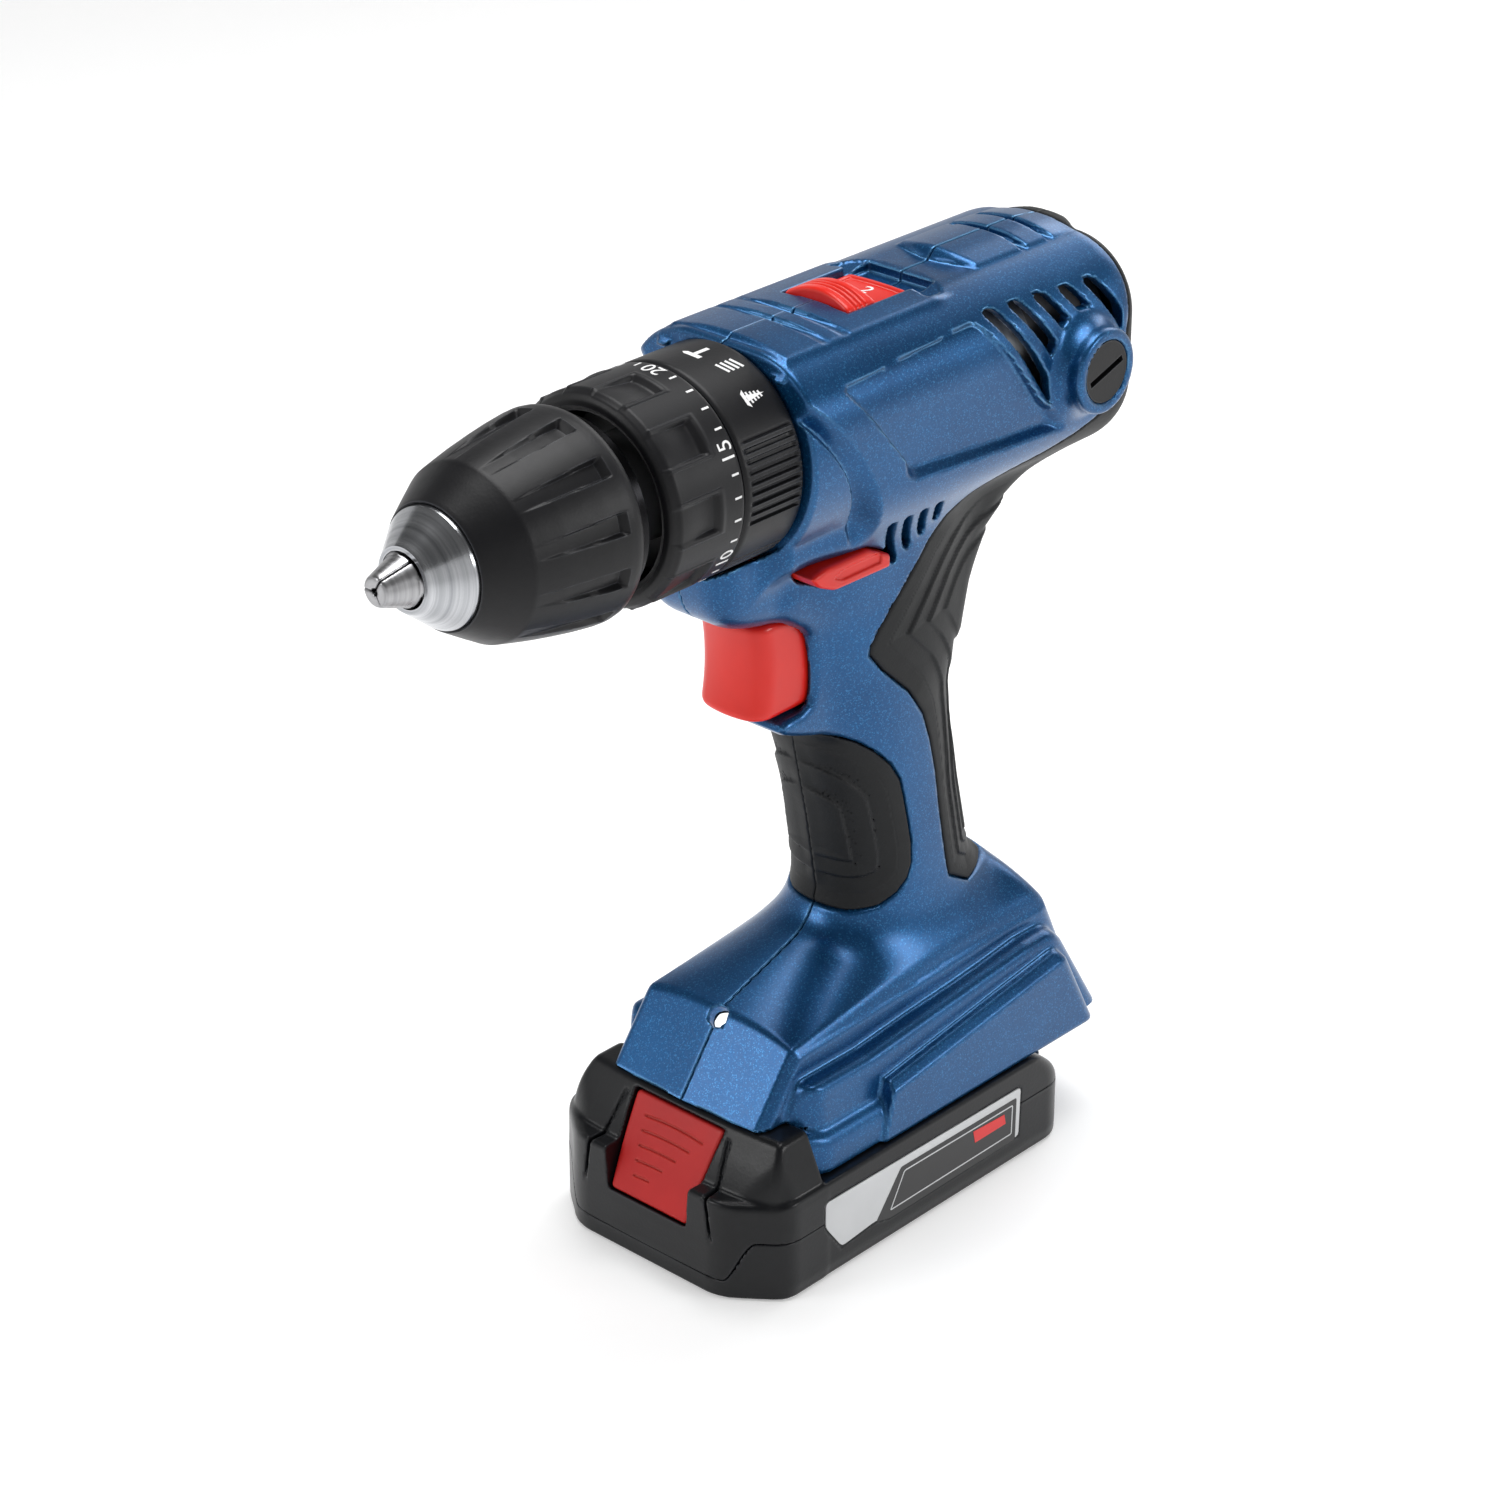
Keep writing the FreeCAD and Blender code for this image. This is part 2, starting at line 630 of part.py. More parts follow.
def gearbox():
    slot_half_height = fork_pin + 0.4
    slot = box(groove_middle - shift_travel - fork_pin - gap, groove_middle + fork_pin + gap, -30, 30,
               axis_z - slot_half_height, axis_z + slot_half_height)
    case = turned([(case_rear, case_inner), (case_front - 4.0, case_inner), (case_front - 4.0, 8.3),
                   (case_front - 0.6, 8.3), (64.0, 8.3), (64.0, 10.5), (71.0, 10.5), (71.0, 8.3),
                   (nose_front, 8.3), (nose_front, nose_outer), (case_front, nose_outer),
                   (case_front, case_outer), (case_rear, case_outer)])
    ball_seat = rod(Vector(case_front - 5.0, 0, axis_z + 18.3),
                    Vector(case_front + 1.0, 0, axis_z + 18.3), 2.05)
    ball_seats = fuse([about_axis(ball_seat, 60.0 * i) for i in range(6)])
    parts["gearbox_case"] = case.cut(slot).cut(ball_seats)
    ball = Part.makeSphere(2.0, Vector(case_front - 1.9, 0, axis_z + 18.3))
    washer = tube(case_front + 0.15, case_front + 1.35, nose_outer + fit, 20.4)
    parts["clutch_balls"] = Part.makeCompound([about_axis(ball, 60.0 * i) for i in range(6)] + [washer])

    parts["first_ring_gear"] = ring_gear(first_rear, first_front, case_inner)
    ring = ring_gear(third_rear, third_front, case_inner)
    cam = box(third_front, third_front + 2.2, -1.5, 1.5, axis_z + 18.6, axis_z + 20.2)
    cams = [about_axis(cam, 60.0 * i + 30.0) for i in range(6)]
    parts["clutch_ring_gear"] = fuse([ring] + cams)

    for i in range(planet_count):
        parts["first_planet_%d" % (i + 1)] = planet(i, first_rear + 0.5, first_front - 0.5)
        parts["third_planet_%d" % (i + 1)] = planet(i, third_rear + 0.5, third_front - 0.5)
    parts["second_planets"] = Part.makeCompound(
        [planet(i, second_rear, second_plate - 0.8) for i in range(planet_count)])

    first = carrier(first_plate, first_plate + 2.5, first_rear + 0.5)
    parts["first_carrier"] = first.fuse(outer_gear(sun_teeth, first_plate + 2.5, second_sun_front))
    second = carrier(second_plate, second_plate + 2.5, second_rear)
    rim = outer_gear(ring_teeth, second_plate, second_plate + 2.5, 0.8, 1.1, 0.1)
    rim = about_axis(rim, 180.0 / ring_teeth)
    third_sun = outer_gear(sun_teeth, second_plate + 2.5, third_front - 0.2)
    parts["second_carrier"] = fuse([second, rim, third_sun])
    shift_ring = ring_gear(shift_ring_rest, shift_ring_rest + shift_ring_width, case_inner - gap)
    groove = tube(groove_middle - fork_pin - 0.4, groove_middle + fork_pin + 0.4, 19.2, case_inner + 1)
    parts["shift_ring_gear"] = shift_ring.cut(groove)

    # The output carrier drives the spindle through two flats, so the spindle can float.
    hub = tube(third_plate, hub_front, 0, hub_radius)
    hub = hub.fuse(carrier(third_plate, hub_floor, third_rear + 0.5))
    flat_bore = tube(hub_floor, hub_front + 1, 0, spindle_radius + fit / 2)
    flat = spindle_flat + fit
    flats = box(hub_floor, hub_front + 1, -20, 20, axis_z - flat, axis_z + flat)
    parts["output_carrier"] = hub.cut(flat_bore.common(flats))
    parts["spindle_bearing"] = tube(64.0, 71.0, spindle_radius + fit / 2, 10.5)
    clutch()


def ratchet_teeth(x0, x1, inner, outer):
    teeth = []
    for i in range(10):
        tooth = box(x0, x1, -0.9, 0.9, axis_z + inner, axis_z + outer)
        teeth.append(about_axis(tooth, 36.0 * i))
    return fuse(teeth).common(tube(x0 - 1, x1 + 1, inner, outer))


def ratchets():
    rotating_rear = 52.0 + hammer_stroke
    face = rotating_rear + 3.0
    moving_ratchet = fuse([tube(rotating_rear, face, spindle_radius, 8.0),
                           ratchet_teeth(rotating_rear - 1.0, rotating_rear + 0.2,
                                         spindle_radius + 0.3, 7.9)])
    fixed_front = rotating_rear - 1.0 - ratchet_gap
    fixed = fuse([tube(fixed_front - 4.0, fixed_front - 1.0, spindle_radius + 0.25, 8.3),
                  ratchet_teeth(fixed_front - 1.2, fixed_front, spindle_radius + 0.4, 8.2)])
    parts["fixed_ratchet"] = fixed
    return moving_ratchet


clutch_nut_rear = 55.6
clutch_nut_front = 61.0
clutch_travel = 3.0


def clutch():
    nut = tube(clutch_nut_rear, clutch_nut_front, nose_outer + fit, 19.6)
    lug = box(clutch_nut_rear, clutch_nut_front, -2.0, 2.0, axis_z + 19.0, axis_z + 21.0)
    lugs = [about_axis(lug, 120.0 * i) for i in range(3)]
    parts["clutch_nut"] = fuse([nut] + lugs)
    spring_rear = case_front + 1.35
    parts["clutch_spring"] = coil(Vector(spring_rear, 0, axis_z), Vector(1, 0, 0),
                                  clutch_nut_rear - spring_rear, 16.4, 1.1, 4)
    bore = ring_outer - ring_wall
    ring = turned([(ring_split + fit, bore), (torque_ring_front - ring_wall, bore),
                   (torque_ring_front - ring_wall, nose_outer + gap), (torque_ring_front, nose_outer + gap),
                   (torque_ring_front, ring_outer - 2.0), (torque_ring_front - 2.0, ring_outer),
                   (ring_split + fit, ring_outer)])
    grip_notches = []
    for i in range(10):
        notch = box(56.0, 70.0, -3.2, 3.2, axis_z + ring_outer - 0.7, axis_z + ring_outer + 3)
        grip_notches.append(about_axis(notch, 36.0 * i + 18.0))
    parts["torque_ring"] = ring.cut(fuse(grip_notches))
    mode = tube(mode_ring_rear, ring_split - fit, bore, ring_outer)
    grooves = []
    knurl_half = 0.45
    knurl_depth = 0.7
    for start in (-38.0, 142.0):
        for i in range(9):
            cut = box(mode_ring_rear - 1, ring_split - 1.6, -knurl_half, knurl_half,
                      axis_z + ring_outer - knurl_depth, axis_z + ring_outer + 2)
            grooves.append(about_axis(cut, -(start + 90.0 + 5.0 * i - 72.0)))
    parts["mode_ring"] = mode.cut(fuse(grooves))


# Spindle and chuck

def jaw_line(index, x):
    """A point on a jaw's own axis at the station x."""
    angle = 2 * math.pi * index / jaw_count
    r = (jaw_cross - x) * math.tan(jaw_angle)
    return Vector(x, r * math.cos(angle), axis_z + r * math.sin(angle))


def chuck():
    body_outer = 15.4
    nut_front = 102.6
    nut_rear = 96.0
    spindle_front = 96.0
    cone_front = 131.5

    def flank(x):
        return (jaw_cross - x) * math.tan(jaw_angle) + jaw_radius / math.cos(jaw_angle) + fit

    shank = tube(hub_floor + hammer_stroke + gap, spindle_front, 0, spindle_radius)
    flats_end = hub_front + hammer_stroke + gap
    flats = fuse([box(0, flats_end, -20, 20, axis_z + spindle_flat, axis_z + 20),
                  box(0, flats_end, -20, 20, axis_z - 20, axis_z - spindle_flat)])
    parts["spindle"] = shank.cut(flats).fuse(ratchets())

    body = turned([(chuck_rear, spindle_radius), (spindle_front, spindle_radius), (spindle_front, 6.6),
                   (cone_front, 6.6), (cone_front, 7.6), (sleeve_front + 0.4, 13.9),
                   (sleeve_front - 4.0, body_outer - 0.9),
                   (108.0, body_outer), (108.0, 17.4), (103.0, 17.4), (103.0, flank(nut_front) - gap),
                   (94.0, flank(nut_front) - gap), (94.0, 20.5), (86.0, 21.8), (chuck_rear, 21.8)])
    bores = [rod(jaw_line(i, jaw_cross), jaw_line(i, 74.0), jaw_radius + fit) for i in range(jaw_count)]
    parts["chuck_body"] = body.cut(fuse(bores))
    screw_front = spindle_front + 2.6
    key_hole = tube(screw_front - 1.4, screw_front + 1, 0, 2.2)
    parts["chuck_screw"] = tube(spindle_front, screw_front, 0, 4.6).cut(key_hole)

    nut_outer = flank(nut_rear) + 2.2
    parts["chuck_nut"] = turned([(nut_rear, flank(nut_rear)), (nut_front, flank(nut_front)),
                                 (nut_front, nut_outer), (nut_rear, nut_outer)])

    sleeve = turned([(sleeve_rear, 22.1), (94.2, 22.1), (nut_rear, nut_outer), (nut_front, nut_outer),
                     (108.6, 18.0), (sleeve_front - 4.0, body_outer + 0.2), (sleeve_front - 1.0, 14.1),
                     (sleeve_front, 14.6), (sleeve_front - 1.0, 15.6), (118.0, 18.2), (112.5, 20.5),
                     (104.0, 23.4), (93.0, 25.3), (88.0, ring_outer), (sleeve_rear + 1.5, ring_outer - 0.4),
                     (sleeve_rear, ring_outer - 1.8)])
    flutes = []
    for i in range(12):
        start = Vector(113.0, 0, axis_z + 21.4)
        end = Vector(90.0, 0, axis_z + 26.6)
        flutes.append(about_axis(rod(start, end, 1.7), 30.0 * i))
    parts["chuck_sleeve"] = sleeve.cut(fuse(flutes))

    tip_shape = turned([(80.0, 0), (jaw_tip, 0), (jaw_tip, 3.0), (jaw_tip - 0.6, 3.6),
                        (cone_front, 7.4), (120.0, 12.0), (80.0, 25.0)])
    for i in range(jaw_count):
        pin_shape = rod(jaw_line(i, jaw_cross), jaw_line(i, jaw_tip - jaw_length), jaw_radius)
        half = math.pi / jaw_count
        reach = 40.0
        wedge = prism([Vector(60, 0.12, 0), Vector(60, reach * math.cos(half), reach * math.sin(half)),
                       Vector(60, reach, 0), Vector(60, reach * math.cos(half), -reach * math.sin(half))],
                      Vector(100, 0, 0))
        wedge.translate(Vector(0, 0, axis_z))
        wedge = about_axis(wedge, 360.0 * i / jaw_count)
        jaw = pin_shape.common(wedge).common(tip_shape)
        parts["jaw_%d" % (i + 1)] = jaw.cut(tube(60, 160, 0, smallest_bit))


# Controls

bar_rear = -1.0
bar_front = 26.5
bar_low = axis_z - 33.6
bar_high = bar_low + 6.4
selector_half_width = 9.8
selector_front = 1.5
selector_rear = -21.5
selector_room = shift_travel + 0.6
led_place = Vector(foot_front - 12.8, 0, foot_bottom + 28.0)
led_tilt = 52.0
terminal_rear = -30.0
terminal_front = 4.0
terminal_half_width = 16.0
switch_rear = -24.0


def led_solid(clearance):
    """The work light's lens, square to the foot's front top edge."""
    a = math.radians(led_tilt)
    forward = Vector(math.cos(a), 0, math.sin(a))
    return rod(led_place - forward * 9.0, led_place + forward * 1.2, 2.5 + clearance)


def controls():
    outline = [(trigger_rear, trigger_low), (trigger_front - 1.0, trigger_low),
               (trigger_front + 0.6, trigger_low + 2.0),
               (trigger_front - 1.6, trigger_low + 12.0), (trigger_front + 0.4, trigger_high - 3.0),
               (trigger_front, trigger_high), (trigger_rear, trigger_high)]
    body = side_plate(outline, trigger_half_width)
    edges = [e for e in body.Edges if abs(e.Vertexes[0].Point.y - e.Vertexes[-1].Point.y) < 1e-6
             and min(v.Point.x for v in e.Vertexes) > trigger_front - 3.0]
    body = body.makeFillet(2.2, edges)
    stem_rear = -4.0
    stem_half = 3.0
    stem_low = trigger_low + 9.0
    stem_high = stem_low + 2 * stem_half
    hollow = box(trigger_rear - 1, trigger_front - 6.0, 2.0 - trigger_half_width, trigger_half_width - 2.0,
                 trigger_low + 2.0, trigger_high - 2.0)
    stem = box(stem_rear, trigger_front - 5.0, -stem_half, stem_half, stem_low, stem_high)
    parts["trigger"] = body.cut(hollow).fuse(stem)

    switch_front = 0.0
    switch_top = trigger_high - 3.0
    switch = box(switch_rear, switch_front, -10.8, 10.8, trigger_low - 6.0, switch_top)
    stem_room = box(stem_rear - trigger_travel - 1.0, switch_front + 1, -stem_half - gap, stem_half + gap,
                    stem_low - gap, stem_high + gap)
    yoke = box(switch_rear + 4.0, -6.0, -6.0, 6.0, switch_top, switch_top + 6.0)
    parts["switch_module"] = fuse([switch.cut(stem_room), yoke])
    spring_start = Vector(switch_front, 0, stem_low - 3.6)
    spring_length = trigger_front - 6.0 - switch_front
    parts["trigger_spring"] = coil(spring_start, Vector(1, 0, 0), spring_length, 2.2, 0.35, 8)

    point = (bar_high + bar_low) / 2
    bar = side_plate([(bar_rear, bar_low), (bar_front - 4.0, bar_low), (bar_front, point),
                      (bar_front - 4.0, bar_high), (bar_rear, bar_high)], selector_bar_half)
    window = box(bar_rear - 1, bar_front + 1, -8.0, 8.0, bar_low - 1, bar_low + 1.6)
    parts["direction_bar"] = bar.cut(window)

    top = axis_z + body_top
    ridge = [(selector_front, fork_top), (selector_front, top + 1.6), (selector_front - 2.0, top + 3.0),
             (selector_front - 5.0, top + 3.0), (selector_front - 7.0, top + 1.6),
             (selector_front - 7.0, top - 1.4),
             (selector_rear, top - 1.4), (selector_rear, fork_top)]
    parts["gear_selector"] = side_plate(ridge, selector_half_width)
    band_inner = case_outer + 0.2
    band_outer = case_outer + 1.3
    band = tube(groove_middle - 1.5, groove_middle + 1.5, band_inner, band_outer)
    band = band.common(box(-60, 60, -60, 60, axis_z - fork_pin, 300))
    pins = []
    for side in (-1, 1):
        pin_inner = Vector(groove_middle, side * 19.5, axis_z)
        pin_outer = Vector(groove_middle, side * band_outer, axis_z)
        pins.append(rod(pin_inner, pin_outer, fork_pin))
    arm = box(selector_front - 6.0, groove_middle + 1.5, -2.0, 2.0, fork_top - 1.4, fork_top)
    parts["shift_fork"] = fuse([band, arm] + pins)


def electrics():
    parts["led_lens"] = led_solid(0)
    parts["terminal_block"] = box(terminal_rear, terminal_front, -terminal_half_width, terminal_half_width,
                                  channel_top + 0.6, channel_top + 8.0)
    leads = []
    lead_radius = 1.3
    for side in (-1, 1):
        y = 6.0 * side
        foot_end = Vector(switch_rear, y, channel_top + 8.6)
        switch_end = Vector(switch_rear + 10.0, y, trigger_low - 6.6)
        leads.append(rod(foot_end, switch_end, lead_radius))
    for side in (-1, 1):
        y = 8.0 * side
        start = Vector(switch_rear + 4.0, y, trigger_high - 2.4)
        bend = Vector(switch_rear - 0.6, y, trigger_high + 11.4)
        end = Vector(switch_rear - 16.0, y, axis_z - can_outer - 1.5)
        arc = Part.Arc(start, bend, end).toShape()
        circle = Part.Wire(Part.makeCircle(lead_radius, start, arc.tangentAt(arc.FirstParameter)))
        leads.append(Part.Wire(arc).makePipeShell([circle], True, True))
    parts["wiring"] = Part.makeCompound(leads)


# Battery pack

button_top = Vector(battery_front - 12.1, 0, block_top - 2.3)
button_low = Vector(battery_front - 0.5, 0, battery_seam + 0.3)
button_slope = (button_low - button_top).normalize()
button_out = Vector(-button_slope.z, 0, button_slope.x)
button_length = 24.2
button_half_width = 14.2
button_thickness = 4.0


def slab_on_slope(low, high, half_width, start=0.0, length=button_length):
    """A slab parallel to the battery's sloping front, between two heights above it."""
    first = button_top + button_slope * start
    last = button_top + button_slope * length
    points = [first + button_out * low, last + button_out * low,
              last + button_out * high, first + button_out * high]
    return prism([p - Vector(0, half_width, 0) for p in points], Vector(0, 2 * half_width, 0))


def battery():
    rear = battery_rear
    half = battery_half_width
    c = battery_corner
    nose = battery_front - 11.0
    nose_half = half - 13.5
    plan = [(rear, -half + c), (rear + c, -half), (nose, -half), (battery_front, -nose_half),
            (battery_front, nose_half), (nose, half), (rear + c, half), (rear, half - c)]
    shoulder = foot_bottom - 0.4
    side = [(rear, 0), (battery_front - 4.0, 0), (battery_front, 5.0), (battery_front, battery_seam - 0.8),
            (battery_front - 12.8, block_top), (block_rear, block_top),
            (block_rear, shoulder), (rear, shoulder)]
    solid = side_plate(side, half).common(plan_plate(plan, -1, block_top + 20))
    tongue_half = channel_half_width - gap
    tongue_front = block_rear + 2.0
    tongue = box(foot_rear + channel_wall + gap, tongue_front, -tongue_half, tongue_half,
                 shoulder - 1, channel_top - gap)
    for s in (-1, 1):
        y0, y1 = sorted((s * (channel_half_width - rail_depth - gap), s * (channel_half_width + 1)))
        tongue = tongue.cut(box(foot_rear, tongue_front - 2.4 + gap, y0, y1, rail_low - gap, rail_high + gap))
    solid = solid.fuse(tongue)

    first = cell_middle - (cell_count - 1) * cell_pitch / 2
    end_half = cell_length / 2 + 1.6
    cells_room = box(cell_middle - row_half, cell_middle + row_half, -end_half, end_half,
                     cell_floor - 0.2, cell_top + 0.8)
    board_room = box(-44.0, 34.0, -22.0, 22.0, cell_top, channel_top - gap - 2.0)
    contact_lines = (-12.0, -4.0, 4.0, 12.0)
    contact_slots = fuse([box(-40.0, 2.0, y - 1.2, y + 1.2, channel_top - 4.5, channel_top + 1)
                          for y in contact_lines])
    button_room = slab_on_slope(-button_thickness - button_travel - 3.0, 3.0, button_half_width + 0.4,
                                -0.4, button_length + 0.4)
    solid = solid.cut(fuse([cells_room, board_room, contact_slots, button_room]))
    lower_zone = box(-200, 200, -100, 100, -5, battery_seam)
    lower = solid.common(lower_zone)
    upper = solid.cut(lower_zone)

    screws = []
    head_top = 3.0
    screw_top = battery_seam + 5.2
    screw_y = half - 8.5
    for x in (battery_rear + 6.0, battery_front - 11.5):
        for y in (-screw_y, screw_y):
            seat = Vector(x, y, 1.0)
            head = rod(seat, Vector(x, y, head_top), 2.4)
            shank = rod(seat, Vector(x, y, screw_top), 1.3)
            lower = lower.cut(fuse([rod(Vector(x, y, -1), Vector(x, y, head_top), 2.4 + fit),
                                    rod(Vector(x, y, 0), Vector(x, y, battery_seam + 1), 1.3 + fit)]))
            upper = upper.cut(rod(Vector(x, y, 0), Vector(x, y, screw_top), 1.3))
            screws.append(head.fuse(shank).cut(rod(Vector(x, y, 0.5), Vector(x, y, 2.0), 1.0)))
    parts["battery_lower_case"] = lower
    parts["battery_upper_case"] = upper
    parts["battery_screws"] = Part.makeCompound(screws)
    parts["battery_cells"] = Part.makeCompound(
        [rod(Vector(first + i * cell_pitch, -cell_length / 2, cell_floor + cell_radius),
             Vector(first + i * cell_pitch, cell_length / 2, cell_floor + cell_radius), cell_radius)
         for i in range(cell_count)])
    board_low = cell_top + 3.2
    board_high = board_low + 1.6
    blades = [box(-34.0, -10.0, y - 0.4, y + 0.4, board_high, channel_top - 2.7) for y in contact_lines]
    parts["battery_board"] = fuse([box(-40.0, 30.0, -20.0, 20.0, board_low, board_high)] + blades)

    button = slab_on_slope(-button_thickness, 0.4, button_half_width)
    grooves = fuse([slab_on_slope(-0.2, 1.0, button_half_width - 3.0, 4.0 * i, 4.0 * i + 0.8)
                    for i in range(1, 6)])
    parts["battery_button"] = button.cut(grooves)
    middle = button_top + button_slope * (button_length / 2) - button_out * button_thickness
    parts["battery_button_spring"] = coil(middle, -button_out, button_travel + 3.0, 3.0, 0.4, 4)


housing()
housing_screws()
motor()
brushes()
gearbox()
chuck()
controls()
electrics()
battery()

os.makedirs("parts", exist_ok=True)
for name, shape in parts.items():
    shape.exportStep("parts/%s.step" % name)
    solids = len(shape.Solids)
    print("%-24s solids %2d valid %s volume %9.1f" % (name, solids, shape.isValid(), shape.Volume))
print(len(parts), "nodes")
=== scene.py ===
import json
import math

import bmesh
import bpy
import numpy as np
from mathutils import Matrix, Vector


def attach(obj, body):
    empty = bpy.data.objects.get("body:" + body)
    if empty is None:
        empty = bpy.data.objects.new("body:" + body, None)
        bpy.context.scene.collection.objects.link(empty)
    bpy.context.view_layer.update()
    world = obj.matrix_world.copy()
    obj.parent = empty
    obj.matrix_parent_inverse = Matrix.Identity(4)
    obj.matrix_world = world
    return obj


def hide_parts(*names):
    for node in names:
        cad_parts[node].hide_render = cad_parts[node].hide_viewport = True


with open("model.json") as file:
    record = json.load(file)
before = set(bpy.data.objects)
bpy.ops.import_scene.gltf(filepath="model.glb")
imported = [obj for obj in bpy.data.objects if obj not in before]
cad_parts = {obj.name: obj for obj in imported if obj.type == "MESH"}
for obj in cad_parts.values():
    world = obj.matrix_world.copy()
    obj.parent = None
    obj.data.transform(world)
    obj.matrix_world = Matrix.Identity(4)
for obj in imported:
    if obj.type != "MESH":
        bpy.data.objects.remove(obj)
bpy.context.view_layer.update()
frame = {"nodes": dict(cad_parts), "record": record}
nodes = frame["nodes"]
axisHeight = 206.0
print("frame loaded", len(nodes), "nodes")


# Fields: negative inside, and about the distance to the surface in millimetres

def smoothMin(a, b, k):
    h = np.maximum(k - np.abs(a - b), 0.0) / k
    return np.minimum(a, b) - h * h * k * 0.25


def smoothMax(a, b, k):
    return -smoothMin(-a, -b, k)


def chamferMax(a, b, leg, k=0.5):
    return smoothMax(smoothMax(a, b, k), (a + b + leg) * 0.70711, k)


def slab(u, low, high):
    return np.abs(u - (low + high) / 2) - (high - low) / 2


def step01(u, low, high):
    t = np.clip((u - low) / (high - low), 0.0, 1.0)
    return t * t * (3.0 - 2.0 * t)


def inAll(field, *others):
    for other in others:
        field = np.maximum(field, other)
    return field


def inAny(field, *others):
    for other in others:
        field = np.minimum(field, other)
    return field


def trimmed(solid, *cuts):
    # The solid cut by each field in turn, every cut with its own rounding.
    for field, k in cuts:
        solid = smoothMax(solid, field, k)
    return solid


def outline(u, v, points):
    # Distance to a closed outline in the plane of u and v, negative inside.
    near = None
    inside = None
    for (au, av), (bu, bv) in zip(points, points[1:] + points[:1]):
        eu, ev = bu - au, bv - av
        wu, wv = u - au, v - av
        t = np.clip((wu * eu + wv * ev) / (eu * eu + ev * ev), 0.0, 1.0)
        d = (wu - t * eu) ** 2 + (wv - t * ev) ** 2
        crossing = (av > v) != (bv > v)
        if ev:
            crossing = crossing & (u < eu * (v - av) / ev + au)
        near = d if near is None else np.minimum(near, d)
        inside = crossing if inside is None else inside ^ crossing
    return np.where(inside, -1.0, 1.0) * np.sqrt(near)


def faces(u, v, points, k=1.0):
    # A convex outline given anticlockwise, with its corners rounded by k.
    field = None
    for (au, av), (bu, bv) in zip(points, points[1:] + points[:1]):
        eu, ev = bu - au, bv - av
        length = math.hypot(eu, ev)
        d = ((u - au) * ev - (v - av) * eu) / length
        field = d if field is None else smoothMax(field, d, k)
    return field


def softened(points, rounds=2):
    # The outline with its corners cut, each round at a quarter of every side.
    for _ in range(rounds):
        cut = []
        for (au, av), (bu, bv) in zip(points, points[1:] + points[:1]):
            cut.append((au * 0.75 + bu * 0.25, av * 0.75 + bv * 0.25))
            cut.append((au * 0.25 + bu * 0.75, av * 0.25 + bv * 0.75))
        points = cut
    return points


def fromAxis(points):
    return [(x, axisHeight + z) for x, z in points]


# Meshes

def stations(*spans):
    # Coordinates from spans of (start, step), closed by the last start.
    values = []
    for (start, step), (end, _) in zip(spans, spans[1:]):
        count = max(1, int(round((end - start) / step)))
        values += list(np.linspace(start, end, count, endpoint=False))
    return np.array(values + [spans[-1][0]], np.float32)


def span(low, high, step):
    return stations((low, step), (high, 0))


def linked(name, data):
    made = bpy.data.objects.new(name, data)
    bpy.context.scene.collection.objects.link(made)
    return made


def makeMesh(name, points, quads, normals=None, material=None, sharp=None):
    mesh = bpy.data.meshes.new(name)
    points = np.asarray(points, np.float32) * 0.001
    quads = np.asarray(quads, np.int32)
    side = quads.shape[1]
    mesh.vertices.add(len(points))
    mesh.vertices.foreach_set("co", points.ravel())
    mesh.loops.add(quads.size)
    mesh.loops.foreach_set("vertex_index", quads.ravel())
    mesh.polygons.add(len(quads))
    mesh.polygons.foreach_set("loop_start", np.arange(len(quads), dtype=np.int32) * side)
    mesh.update(calc_edges=True)
    mesh.polygons.foreach_set("use_smooth", np.ones(len(quads), bool))
    if normals is not None:
        mesh.normals_split_custom_set_from_vertices(np.asarray(normals, np.float32))
    elif sharp is not None:
        mesh.set_sharp_from_angle(angle=math.radians(sharp))
    piece = linked(name, mesh)
    if material:
        mesh.materials.append(material)
    return piece


def gradient(field, p, reach):
    # The field's slope at points, from four samples on a tetrahedron.
    total = np.zeros_like(p)
    for corner in ((1, -1, -1), (-1, -1, 1), (-1, 1, -1), (1, 1, 1)):
        c = np.array(corner, p.dtype)
        q = p + c * reach
        total += c * field(q[:, 0], q[:, 1], q[:, 2])[:, None]
    return total / (4.0 * reach)


